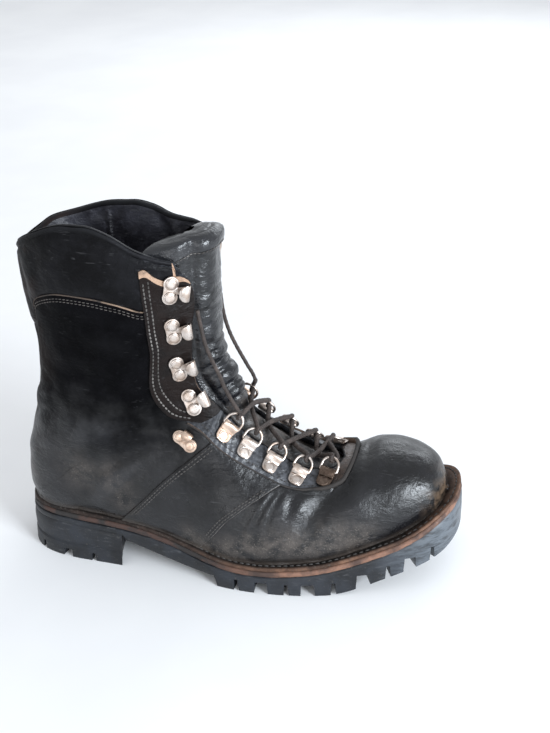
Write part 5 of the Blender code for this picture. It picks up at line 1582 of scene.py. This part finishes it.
def make_clip(name, number, side, metal):
    """Plate folded round the ring's bar, wider at the fold than at its riveted round end."""
    matrix = clip_frame(number, side)
    bar = CLIP_FOLD_RADIUS - 0.45
    line = [(-8.9, 0.5), (-8.5, 0.5), (-7.4, 0.5), (-5.2, 0.5), (-1.5, 0.5), (1.4, 0.5)]
    halves = [1.4, 2.9, 4.3, 4.9, 5.1, 5.2]
    for turn in np.radians((-70, -30, 10, 50, 90, 125)):
        line.append((CLIP_FOLD_X + bar * math.cos(turn), CLIP_FOLD_RADIUS + bar * math.sin(turn)))
        halves.append(5.25)
    line += [(CLIP_FOLD_X - 2.9, 2.35), (CLIP_FOLD_X - 4.2, 1.75)]
    halves += [5.15, 4.9]
    pile = Pile()
    add_strap(pile, matrix, line, halves, STRAP_THICK)
    add_rivet(pile, matrix, (-4.9, 0.0), 3.7, 0.8, 0.65, 0.15)
    pile.piece(name + "_nickel", "nickel", metal, (name,), sharp=50)


def ring_place(matrix, u, v, w):
    """Point in a ring's own plane: u from its bar to its free end, v along the bar, w off it."""
    cos, sin = math.cos(RING_TILT), math.sin(RING_TILT)
    along, off = CLIP_FOLD_X + u * cos - w * sin, CLIP_FOLD_RADIUS + u * sin + w * cos
    return placed(matrix, [(along, v, off)])[0]


def make_ring(name, number, side, metal):
    matrix = clip_frame(number, side)
    half = RING_WIDTH / 2 - RING_WIRE / 2
    corners = [(0.0, -half * .5), (0.0, half * .5), (0.05, half * .86), (0.9, half * 1.0)]
    for turn in np.radians(np.linspace(78, -78, 9)):
        corners.append((RING_REACH - half + half * math.cos(turn), half * math.sin(turn)))
    corners += [(0.9, -half), (0.05, -half * .86)]
    path = [ring_place(matrix, u, v, 0.0) for u, v in spline(corners, 6, closed=True)]
    pile = Pile()
    pile.add(*sweep(path, round_section(RING_WIRE / 2, 10), closed=True))
    pile.piece(name + "_nickel", "nickel", metal, (name,), outward=True)


# ---- laces --------------------------------------------------------------------------------
LACE_END_LATERAL = ((8.9, 19.0, 10.5), (9.2, 19.5, 11.0), (9.7, 19.5, 11.5), (10.4, 18.5, 12.0),
                    (11.2, 17.5, 12.5), (12.2, 17.0, 12.0), (13.2, 18.5, 9.5), (14.2, 21.5, 6.8),
                    (15.0, 24.5, 4.0), (15.5, 25.5, 2.6))
LACE_END_MEDIAL = ((9.1, -15.6, 12.2), (9.4, -15.5, 13.0), (9.8, -14.5, 13.3), (10.4, -13.0, 12.8),
                   (11.2, -12.5, 11.8), (12.2, -14.0, 10.4), (13.2, -17.5, 8.6), (14.2, -21.5, 6.4),
                   (15.0, -24.5, 4.0), (15.5, -25.5, 2.6))
BELOW_RING = (-1.9, -.5, -2.0)      # where a strand comes up under a ring's free end
LACE_FLATNESS = 0.85


def add_lace(pile, path, diameter, sides=12, flat=1.0):
    """Braided cord along a path, its run in mm and its turn kept for the weave."""
    step = 0.7
    path = even_run(path, spacing=step)
    normals = carried_normals(path)
    lumps = 1 + 0.06 * wander(path, 3.0, 20.0) + 0.05 * np.sin(np.arange(len(path)) * 1.15)
    widths = np.stack([lumps, lumps * flat], -1)
    points, faces = sweep(path, round_section(diameter / 2, sides), normals, widths=widths)
    run = np.repeat(np.arange(len(path)) * step, sides)
    around = np.tile(np.arange(sides) / sides, len(path))
    pile.add(points, faces, along=run, around=around)


def through_ring(number, side, coming_from, going_to):
    """Lace path through one ring: up through it from below, over its free end and away."""
    matrix = clip_frame(number, side)
    over = 2.2 if side > 0 else 1.0
    stops = ((0.6, -1.3, -2.9), BELOW_RING, (-2.5, 0.0, 0.3), (-1.0, 0.7, over), (1.4, 1.4, over - 1.0))
    stops = stops[0 if coming_from else 1:5 if going_to else 4]
    return [ring_place(matrix, RING_REACH + u, v, w) for u, v, w in stops]


def crossing_point(number, lift):
    """Where the strands cross over the tongue's middle, above ring pair number."""
    s = (CLIP_SECTIONS[number] + CLIP_SECTIONS[number + 1]) / 2
    rise = float(profile(TONGUE_RISE, s)) + LACE_DIAMETER / 2 + lift
    return raised(s, 0.02, rise)


def strand(first_side, lift):
    """One lace strand from the lowest pair of rings to the top pair, through every ring."""
    side, points = first_side, []
    lowest = len(CLIP_SECTIONS) - 1
    for number in range(lowest, -1, -1):
        if points:
            points.append(crossing_point(number, lift if number % 2 else LACE_DIAMETER - lift))
        points += through_ring(number, side, number < lowest, number > 0)
        side = -side
    return np.vstack([points, end_route(LACE_END_MEDIAL if side > 0 else LACE_END_LATERAL)[:2]])


def end_route(stations):
    """A lace end's path over (section number, degrees, height) stations."""
    rows = np.array(stations, float)
    angle = np.radians(rows[:, 1])
    path = raised(rows[:, 0], angle, rows[:, 2])
    run = run_of(path)
    even = np.linspace(0, run[-1], 90)
    return np.stack([profile(np.c_[run, path[:, k]], even) for k in range(3)], -1)


def make_laces(materials):
    pile = Pile()
    for first_side, lift in ((1, 0.2), (-1, LACE_DIAMETER - 0.2)):
        add_lace(pile, spline(strand(first_side, lift), 8), LACE_DIAMETER, flat=LACE_FLATNESS)
    # the loop across the lowest pair, under everything
    away = (2.5, -1.5, -2.8)
    low = [ring_place(clip_frame(len(CLIP_SECTIONS) - 1, side), RING_REACH + u, v, w)
           for side, (u, v, w) in ((1, BELOW_RING), (1, away), (-1, away), (-1, BELOW_RING))]
    add_lace(pile, spline(low, 10), LACE_DIAMETER, flat=LACE_FLATNESS)
    pile.piece("laces", "lace", materials["cord"], ("lace_crossings",), outward=True)
    for label, stations in (("lateral", LACE_END_LATERAL), ("medial", LACE_END_MEDIAL)):
        path = end_route(stations)
        pile = Pile()
        add_lace(pile, path, LACE_END_DIAMETER)
        end = pile.piece(f"lace_{label}", "lace", materials["cord"], (f"lace_end_{label}",),
                         outward=True)


# ---- sole ---------------------------------------------------------------------------------
def welt_bottom(x):
    return feather_z(x) - WELT_THICK


def midsole_top(x):
    return welt_bottom(x) - GAP


def midsole_bottom(x):
    return midsole_top(x) - MIDSOLE_THICK


def outsole_top(x):
    return midsole_bottom(x) - GAP


def tread_z(x):
    return profile(TREAD_PROFILE, x)


def groove_floor(x):
    """Rubber surface between the lugs."""
    return np.minimum(tread_z(x) + LUG_DEPTH, outsole_top(x) - 3.0)


def outsole_bottom(x):
    """Under the heel a thin plate, in the waist a thicker one, then the tread."""
    waist = np.interp(x, [HEEL_BREAST_X, 110, 135, TREAD_START_X], [22.0, 15.0, 10.0, 8.0])
    under_heel = outsole_top(x) - HEEL_PLATE
    return np.where(x < HEEL_BREAST_X + 1, under_heel,
                    np.where(x < TREAD_START_X, np.minimum(waist, outsole_top(x) - 4.5), tread_z(x)))


def heel_top(x):
    return outsole_top(x) - HEEL_PLATE - GAP * 0.3


def add_solid(shape, points, faces):
    """Add a closed solid to a bmesh."""
    made = [shape.verts.new(tuple(point)) for point in points]
    for face in faces:
        shape.faces.new([made[int(k)] for k in face])


def temporary(name, shape):
    """An object from a bmesh, for cutting; it is removed afterwards."""
    bmesh.ops.recalc_face_normals(shape, faces=shape.faces)
    mesh = bpy.data.meshes.new(name)
    shape.to_mesh(mesh)
    shape.free()
    return linked(name, mesh)


def layered_plate(levels, top, bottom, stations, limit=None):
    """Closed plate: levels are (share of the way down, outline), heights are functions of x, and
    limit is its front x where it ends before the outline does."""
    low = max(outline[:, 0].min() for _, outline in levels) + 0.02
    high = min(outline[:, 0].max() for _, outline in levels) - 0.02
    if limit:
        high = min(high, limit)
    t = np.linspace(0, math.pi, stations)
    x = low + (high - low) * (1 - np.cos(t)) / 2
    x = np.unique(np.round(np.r_[x, np.arange(low + 4, high - 4, 2.5)], 3))
    rows = []
    for share, outline in levels:
        ends = outline[:, 0].min() + 0.02, high if limit else outline[:, 0].max() - 0.02
        here = np.interp(x, [low, high], ends)
        lateral, medial = sides_at(outline, here)
        z = top(x) * (1 - share) + bottom(x) * share
        ring = np.vstack([np.stack([here, lateral, z], -1), np.stack([here, medial, z], -1)[::-1]])
        rows.append(ring)
    count, n = len(rows[0]), len(x)
    faces = loop_faces(len(rows), count, caps=False)
    for row in (0, len(rows) - 1):
        base = row * count
        for i in range(n - 1):
            faces.append((base + i, base + i + 1, base + count - 2 - i, base + count - 1 - i))
    return np.vstack(rows), faces


RUBBER_EDGE = 0.45
GROOVE_REACH_DOWN = 15.0
EDGE_GROOVES = ((168.5, 2.4), (185.5, 8.5), (202.5, 2.4), (219.0, 8.5), (236.0, 2.4),
                (253.0, 8.5), (269.0, 2.4), (284.0, 7.5), (298.0, 2.4))
LUG_LENGTH = 15.0
CHANNEL = 5.0
CROSS_GROOVES = np.arange(TREAD_START_X + 11.0, 270.0, 17.0)
HEEL_NOTCHES = ((22, 2.4), (43, 6.5), (62, 2.4))
HEEL_NOTCH_HEIGHT = 6.0
BREAST_HOLLOW = 10.5
BREAST_RADIUS = 107.0
BREAST_LEAN = math.atan(3.0 / 33.0)


def add_groove(shape, center, outward, reach_in, reach_out, width, floor_in, floor_out, flare=1.0):
    """One cutting wedge across the sole edge, its top face sloping with the groove's floor and
    wider where it opens downward."""
    outward = unit(np.array([[*outward, 0.0]]))[0]
    along = np.array([-outward[1], outward[0], 0.0])
    corners = []
    for reach, floor in ((-reach_in, floor_in), (reach_out, floor_out)):
        for z, grow in ((floor, 0.0), (floor - GROOVE_REACH_DOWN, flare)):
            for side in (-1, 1):
                spot = np.array([*center, 0.0]) + outward * reach + along * side * (width / 2 + grow)
                corners.append((spot[0], spot[1], z))
    add_solid(shape, corners, ((0, 1, 3, 2), (4, 6, 7, 5), (0, 4, 5, 1), (2, 3, 7, 6),
                               (0, 2, 6, 4), (1, 5, 7, 3)))


def tread_cutters():
    """What is cut out of the tread: edge grooves, the channel inside them and cross grooves."""
    shape = bmesh.new()
    loop = sole_loop()
    back, tip = int(np.argmin(loop[:, 0])), int(np.argmax(loop[:, 0]))
    for side in (-1, 1):
        run = [i for i in range(len(loop)) if (loop[i, 1] - loop[tip, 1]) * side > -0.5
               and loop[i, 0] > TREAD_START_X - 8]
        for x, width in EDGE_GROOVES:
            i = min(run, key=lambda k: abs(loop[k, 0] - x))
            center, outward = loop[i], FEATHER_NORMAL[i]
            inner_x = center[0] - outward[0] * LUG_LENGTH
            add_groove(shape, center, outward, LUG_LENGTH + 1.0, 6.0, width,
                       float(groove_floor(inner_x)), float(groove_floor(center[0] + 4)))
    ring = [i for i in range(len(loop)) if loop[i, 0] > TREAD_START_X - 4]
    ordered = sorted(ring, key=lambda k: (k - back) % len(loop))[::3]
    corners = []
    for i in ordered:
        for inset in (LUG_LENGTH, LUG_LENGTH + CHANNEL):
            x, y = loop[i] - FEATHER_NORMAL[i] * inset
            floor = float(groove_floor(x))
            corners += [(x, y, floor), (x, y, floor - GROOVE_REACH_DOWN)]
    faces = [(0, 2, 3, 1), tuple(len(corners) - 4 + k for k in (0, 1, 3, 2))]
    for a in range(0, len(corners) - 4, 4):
        b = a + 4
        faces += [(a, b, b + 2, a + 2), (a + 1, a + 3, b + 3, b + 1),
                  (a, a + 1, b + 1, b), (a + 2, b + 2, b + 3, a + 3)]
    add_solid(shape, corners, faces)
    inset = LUG_LENGTH + CHANNEL
    for x in CROSS_GROOVES:
        lateral, medial = sides_at(loop, x)
        middle = (lateral + medial) / 2
        for edge, side in ((lateral + inset - 1, -1), (medial - inset + 1, 1)):
            if abs(edge - middle) > 6:
                add_groove(shape, (x, middle + side * 1.2), (-0.35, side), 1.0,
                           abs(edge - middle) + 0.6, 4.0, float(groove_floor(x)),
                           float(groove_floor(x - 6)), 0.3)
    return temporary("tread_cutters", shape)


def heel_cutters(floor_loop):
    """Notches in the heel's edge and the round hollow of its breast."""
    shape = bmesh.new()
    for inner_side in (False, True):
        for x, width in HEEL_NOTCHES:
            nearest = np.argsort(np.abs(floor_loop[:, 0] - x))[:8]
            i = [k for k in nearest if (floor_loop[k, 1] > -6) == inner_side][0]
            add_groove(shape, floor_loop[i], FEATHER_NORMAL[i], 15, 6, width,
                       HEEL_NOTCH_HEIGHT, HEEL_NOTCH_HEIGHT)
    breast = Matrix.Translation((HEEL_BREAST_X - BREAST_HOLLOW + BREAST_RADIUS, -5.0, 0.0))
    bmesh.ops.create_cone(shape, cap_ends=True, segments=96, radius1=BREAST_RADIUS, depth=80.0,
                          radius2=BREAST_RADIUS, matrix=breast @ Matrix.Rotation(BREAST_LEAN, 4, "Y"))
    return temporary("heel_cutters", shape)


def carve(node, levels, top, bottom, stations, limit, cutters, material):
    """Rubber plate cut with the cutters and with softened edges, as a piece."""
    shape = bmesh.new()
    add_solid(shape, *layered_plate(levels, top, bottom, stations, limit))
    body = temporary(node + "_body", shape)
    cut = body.modifiers.new("cut", "BOOLEAN")
    cut.operation, cut.solver, cut.use_self, cut.object = "DIFFERENCE", "EXACT", True, cutters
    soften = body.modifiers.new("soften", "BEVEL")
    soften.width, soften.segments, soften.limit_method = RUBBER_EDGE, 2, "ANGLE"
    soften.angle_limit = math.radians(38)
    soften.use_clamp_overlap = True
    depsgraph = bpy.context.evaluated_depsgraph_get()
    mesh = bpy.data.meshes.new_from_object(body.evaluated_get(depsgraph))
    points = np.array([vertex.co[:] for vertex in mesh.vertices])
    faces = [tuple(polygon.vertices) for polygon in mesh.polygons]
    for thing in (body, cutters):
        bpy.data.objects.remove(thing, do_unlink=True)
    bpy.data.meshes.remove(mesh)
    pile = Pile()
    pile.add(points, faces)
    pile.piece(node + "_rubber", "rubber", material, (node,), sharp=32)


def sole_levels(*rows):
    """Levels of a plate from (share of the way down, mm outside the sole's edge)."""
    return [(share, sole_loop(grow)) for share, grow in rows]


def make_outsole(materials):
    levels = sole_levels((0.0, -1.5), (0.05, -0.7), (0.12, -0.4), (0.5, -0.2), (1.0, -0.5))
    carve("outsole", levels, outsole_top, outsole_bottom, 150, None, tread_cutters(),
          materials["rubber"])


def make_heel(materials):
    levels = sole_levels((0.0, -1.2), (0.05, -0.2), (0.2, 0.5), (0.45, 0.5), (0.60, -0.1), (0.64, 0.9),
                         (0.8, 1.3), (1.0, 1.6))
    carve("heel", levels, heel_top, np.zeros_like, 90, HEEL_BREAST_X - 1, heel_cutters(levels[-1][1]),
          materials["rubber"])


def rough_plate(name, slot, node, material, levels, top, bottom, roughness, stations=170):
    """Plate with a slightly uneven edge."""
    points, faces = layered_plate(levels, top, bottom, stations)
    pile = Pile()
    centre = np.array([points[:, 0].mean(), points[:, 1].mean(), 0])
    outward = unit((points - centre) * np.array([1, 1, 0]))
    points = points + outward * (roughness * wander(points * np.array([1, 1, 2.5]), 6.0, 30.0))[:, None]
    pile.add(points, faces)
    pile.piece(name, slot, material, (node,), sharp=50, outward=True)


def make_midsole(materials):
    levels = sole_levels((0.0, -2.0), (0.10, -1.1), (0.3, -0.8), (0.7, -0.8), (0.92, -1.1), (1.0, -1.9))
    rough_plate("midsole_leather", "midsole_leather", "midsole", materials["midsole"], levels,
                midsole_top, midsole_bottom, 0.35)


def make_insole(materials):
    levels = [(0.0, inner_loop(6.2)), (0.25, inner_loop(5.5)), (1.0, inner_loop(5.4))]
    rough_plate("insole_felt", "felt", "insole", materials["felt"], levels,
                lambda x: midsole_top(x) + GAP + INSOLE_THICK, lambda x: midsole_top(x) + GAP, 0.2, 90)


WELT_STITCH_INSET = 3.3
# (mm in from the edge, share of the thickness up, extra height)
WELT_SECTION = ((0.9, 0.0, 0), (0.25, 0.12, 0), (0.0, 0.45, 0), (0.2, 0.82, 0), (0.8, 1.0, 0),
                (1.6, 1.0, .05), (2.5, 1.0, 0), (WELT_STITCH_INSET, 1.0, -.35), (4.1, 1.0, 0),
                (5.4, 1.0, 0), (99, 1.0, 0), (99, 0.0, 0))


def make_welt(materials):
    """Welt with a rounded outer edge and a groove that holds its stitches."""
    outer, inner = sole_loop(-1.2), inner_loop(4.2)
    rows = []
    width = np.linalg.norm(outer - inner, axis=1)
    for inset, share, extra in WELT_SECTION:
        t = np.clip(inset / width, 0, 1)[:, None]
        loop = outer * (1 - t) + inner * t
        z = welt_bottom(loop[:, 0]) + WELT_THICK * share + extra * (width > inset + 1.5)
        rows.append(np.c_[loop, z])
    rows = [spline(row, 3, closed=True) for row in rows]
    loops = np.stack(rows, 1)
    loops[:, :, 2] += 0.12 * wander(loops[:, 0], 8.0, 31.0)[:, None]
    outer_mark = np.array([1.0, 1.0, 1.0, 0.9, 0.45, 0.15] + [0.0] * 6)
    shelf_mark = np.array([1.0] * 6 + [0.8, 0.3, 0.6, 0.4, 0.0, 0.0])
    pile = Pile()
    pile.add(loops, grid_faces(len(loops), len(rows), True, True),
             outer=np.tile(outer_mark, len(loops)), shelf=np.tile(shelf_mark, len(loops)))
    pile.piece("welt_leather", "black_leather", materials["welt"], ("welt",), outward=True)


# ---- seams, stitches and raw edges --------------------------------------------------------
# rows of stitches beside a seam: mm along the boot from it
PAD_ROWS = (-2.8, -4.7)
REAR_ROWS = (-2.0, -4.2)
FRONT_ROWS = (2.0, 4.0)
FACING_STITCHES = ((10.3, 40.5), (9.6, 40), (8.97, 39), (8.12, 36), (7.2, 34), (6.58, 34), (6.1, 32),
                   (5.7, 29.5))
VAMP_EDGE = ((10.9, 45.2), (9.95, 44), (8.97, 43), (8.12, 40), (7.2, 38), (6.58, 38), (6.1, 36),
             (5.8, 34), (5.45, 32.6), (5.15, 29.5), (4.98, 26), (4.86, 17), (4.79, 8), (4.77, 0))


def beside(stations, shift, low, high):
    """A seam between two angles in degrees, moved along the boot by some mm."""
    rows = spline(stations)
    rows = rows[(rows[:, 1] >= low) & (rows[:, 1] <= high)]
    rows[:, 0] += shift / section_spacing(rows[:, 0], np.radians(rows[:, 1]))
    return rows[::3]


def make_stitches(materials):
    bright, dark, pale = Pile(), Pile(), Pile()
    for shift in PAD_ROWS:
        for path, normals in both_sides(beside(PAD_SEAM, shift, 62, 147), 0.05):
            add_stitches(bright, path, normals, 2.0, 0.9, 0.34)
    for seam, shifts, end in ((SEAM_REAR, REAR_ROWS, 117), (SEAM_FRONT, FRONT_ROWS, 112)):
        for shift in shifts:
            for path, normals in both_sides(beside(seam, shift, 46, end), 0.02, PANEL_HEIGHT):
                add_stitches(dark, path, normals, 2.1, 0.8, 0.48)
    for path, normals in both_sides(FACING_STITCHES, 0.02):
        add_stitches(dark, path, normals, 1.9, 0.8, 0.30)
    for side in (1, -1):
        for groove in STAY_GROOVES:
            s = np.linspace(STAY_START + 1.1, 18.1, 90)
            width = stay_place(s, np.ones(90), side)[2]
            real, angle, _ = stay_place(s, 1 - groove / width, side)
            path = raised(real, angle, STAY_OVER - 0.18)
            add_stitches(pale, path, last_normal(real, angle), 2.1, 0.7, 0.56)
    # the tongue's binding
    share = np.linspace(-0.93, 0.93, 200)
    section, angle, base, normal, bare = tongue_base(TONGUE_BINDING + 0.12, share)
    height = tongue_height(section, share, angle, base, bare)
    add_stitches(pale, base + normal * (height + .15)[:, None], normal, 2.0, 0.6, 0.40)
    # welt
    loop = spline(sole_loop(-1.2 - WELT_STITCH_INSET), 4, closed=True)
    path = np.c_[loop, feather_z(loop[:, 0]) - 0.25]
    welt = Pile()
    add_stitches(welt, path, np.tile([0.0, 0.0, 1.0], (len(path), 1)), 3.0, 1.3, 0.5, 0.25)
    bright.piece("stitches_grey", "lace", materials["thread"])
    pale.piece("stitches_pale", "lace", materials["pale_thread"])
    dark.piece("stitches_dark", "lace", materials["dark_thread"])
    welt.piece("stitches_welt", "lace", materials["dark_thread"])


def make_edges(materials):
    """Raw leather edges along the seams and round the throat."""
    tan, dark, brown = Pile(), Pile(), Pile()
    strip = strap_section(0.55, -0.75, 0.12, 0.25)
    for path, normals in both_sides(beside(PAD_SEAM, 0.0, 60, 150), 0.0):
        ends = np.sin(np.linspace(0, math.pi, len(path))) ** 0.35
        bright = 1 - smoothstep(np.linspace(0, 1, len(path)), 0.16, 0.42) * 0.78
        points, faces = sweep(path + normals * 0.45, strip, normals,
                              widths=ends * (0.75 + 0.4 * bright))
        tan.add(points, faces, pale=np.repeat(bright, len(strip)))
    # lip of the vamp round the facing, thickest at the throat's end
    s, angle = line_on_last([*VAMP_EDGE, *((s, -degrees) for s, degrees in VAMP_EDGE[-2::-1])])
    base, normal = last_point(s, angle), last_normal(s, angle)
    both = even_run(np.c_[base, normal, s], spacing=0.9)
    path, normals, s = both[:, :3], unit(both[:, 3:6]), both[:, 6]
    deep = 1 - smoothstep(s, 5.3, 6.4)
    section = np.array([(.7, .5), (.35, .95), (-.1, 1.0), (-.5, .75), (-.62, .2), (-.6, -.9),
                        (.0, -1.0), (.6, -.6)])
    widths = np.stack([1.1 + 1.1 * deep, 1.2 + 1.1 * deep], -1)
    lip = path + normals * (0.7 + 0.35 * deep)[:, None]
    points, faces = sweep(lip, section, normals, widths=widths)
    points += 0.2 * wander(points, 5.0, 40.0)[:, None] * np.repeat(normals, len(section), 0)
    count = len(section)
    raw = {3, 4, 5}             # the cut side, toward the throat
    dark.add(points, faces,
             kind=[1 if f % count in raw else 0 for f in range(len(faces) - 2)] + [0, 0])
    # the facings' front edges and the bottom of the throat
    up = np.linspace(16.2, THROAT_END + 0.06, 150)
    angles = np.r_[throat_angle(up), [0.0], -throat_angle(up)[::-1]]
    s = np.r_[up, [THROAT_END - 0.03], up[::-1]]
    real = real_section(s, angles)
    path, normals = even_line(raised(real, angles, -1.5), last_normal(real, angles), 0.9)
    brown.add(*sweep(path, strap_section(0.8, -1.45, 1.35, 0.6), normals))
    tan.piece("raw_edges", "black_leather", materials["seam_edge"], outward=True)
    dark.piece("throat_lip", "black_leather", [materials["dark_edge"], materials["suede"]],
               outward=True)
    brown.piece("throat_binding", "black_leather", materials["pad"], outward=True)


# ---- stage --------------------------------------------------------------------------------
VIEW_AZIMUTH, VIEW_HEIGHT, VIEW_ROLL = math.radians(15), math.radians(29), math.radians(-2.5)
VIEW_DISTANCE, VIEW_TARGET, LENS = 760.0, (188.0, 0.0, 143.5), 56.97


def make_camera():
    back = np.array([math.sin(VIEW_AZIMUTH) * math.cos(VIEW_HEIGHT),
                     -math.cos(VIEW_AZIMUTH) * math.cos(VIEW_HEIGHT), math.sin(VIEW_HEIGHT)])
    right = np.array([math.cos(VIEW_AZIMUTH), math.sin(VIEW_AZIMUTH), 0.0])
    up = np.cross(back, right)
    cos, sin = math.cos(VIEW_ROLL), math.sin(VIEW_ROLL)
    made = np.eye(4)
    made[:3, 0] = right * cos + up * sin
    made[:3, 1] = up * cos - right * sin
    made[:3, 2] = back
    made[:3, 3] = packed(np.array(VIEW_TARGET) + back * VIEW_DISTANCE)
    camera = linked("camera", bpy.data.cameras.new("camera"))
    camera.data.lens = LENS
    camera.data.sensor_fit = "AUTO"
    camera.data.sensor_width = 36.0
    camera.data.clip_start = 0.01
    camera.matrix_world = Matrix(made.tolist())
    bpy.context.scene.camera = camera


def add_light(name, place, size, power, color, aim=(0.0, 0.0, 0.1)):
    light = bpy.data.lights.new(name, "AREA")
    light.shape, light.size, light.size_y = "RECTANGLE", size[0], size[1]
    light.energy, light.color = power, color
    thing = linked(name, light)
    thing.location = place
    thing.rotation_euler = (Vector(aim) - Vector(place)).to_track_quat("-Z", "Y").to_euler()


FLOOR_HALF, FLOOR_ROWS, FLOOR_Z = 14.0, 29, -0.0003      # in metres, just under the sole


def make_stage(materials):
    line = np.linspace(-FLOOR_HALF, FLOOR_HALF, FLOOR_ROWS)
    x, y = np.meshgrid(line, line, indexing="ij")
    mesh = bpy.data.meshes.new("floor")
    mesh.from_pydata(np.stack([x, y, np.full_like(x, FLOOR_Z)], -1).reshape(-1, 3).tolist(), [],
                     grid_faces(FLOOR_ROWS, FLOOR_ROWS)[:, ::-1].tolist())
    mesh.materials.append(materials["floor"])
    floor = linked("floor", mesh)
    world = bpy.data.worlds.new("studio")
    world.use_nodes = True
    background = world.node_tree.nodes["Background"].inputs
    background["Color"].default_value = (0.93, 0.96, 1.0, 1.0)
    background["Strength"].default_value = 0.80
    bpy.context.scene.world = world
    add_light("window", (1.45, -0.95, 0.62), (0.6, 0.7), 46.0, (0.86, 0.93, 1.0))
    add_light("front", (-0.1, -1.9, 0.28), (1.3, 0.4), 6.0, (0.96, 0.97, 1.0))
    add_light("rim", (0.3, 1.5, 0.75), (1.3, 0.5), 8.0, (0.90, 0.95, 1.0))
    scene = bpy.context.scene
    scene.view_settings.view_transform = "Standard"
    scene.view_settings.exposure = 0.0


# ---- build --------------------------------------------------------------------------------
# the first clips are warmer, the last outer one is black with dirt under its lace
CLIP_METALS = {(0, 1): "warm_metal", (0, -1): "warm_metal", (4, 1): "dark_metal"}


def build():
    materials = make_materials()
    make_camera()
    make_stage(materials)
    make_laces(materials)
    make_upper(materials)
    make_pad(materials)
    make_lining(materials)
    make_tongue(materials)
    for side, label in ((1, "lateral"), (-1, "medial")):
        make_stay(side, "stay_" + label, materials)
        for number, (x, z, turn, extra) in enumerate(HOOK_PLACES, 1):
            make_hook(f"hook_{label}_{number}", SPEED_HOOK, x, z, turn,
                      GAP * 2 + .3 + STAY_THICK + extra * .5, side, materials["metal"])
        make_hook("ankle_hook_" + label, ANKLE_HOOK, *ANKLE_HOOK_PLACE, GAP + 1.0, side,
                  materials["warm_metal"])
        for number in range(len(CLIP_SECTIONS)):
            metal = materials[CLIP_METALS.get((number, side), "metal")]
            make_clip(f"clip_{label}_{number + 1}", number, side, metal)
            make_ring(f"ring_{label}_{number + 1}", number, side, materials["metal"])
    make_outsole(materials)
    make_heel(materials)
    make_midsole(materials)
    make_insole(materials)
    make_welt(materials)
    make_stitches(materials)
    make_edges(materials)


build()
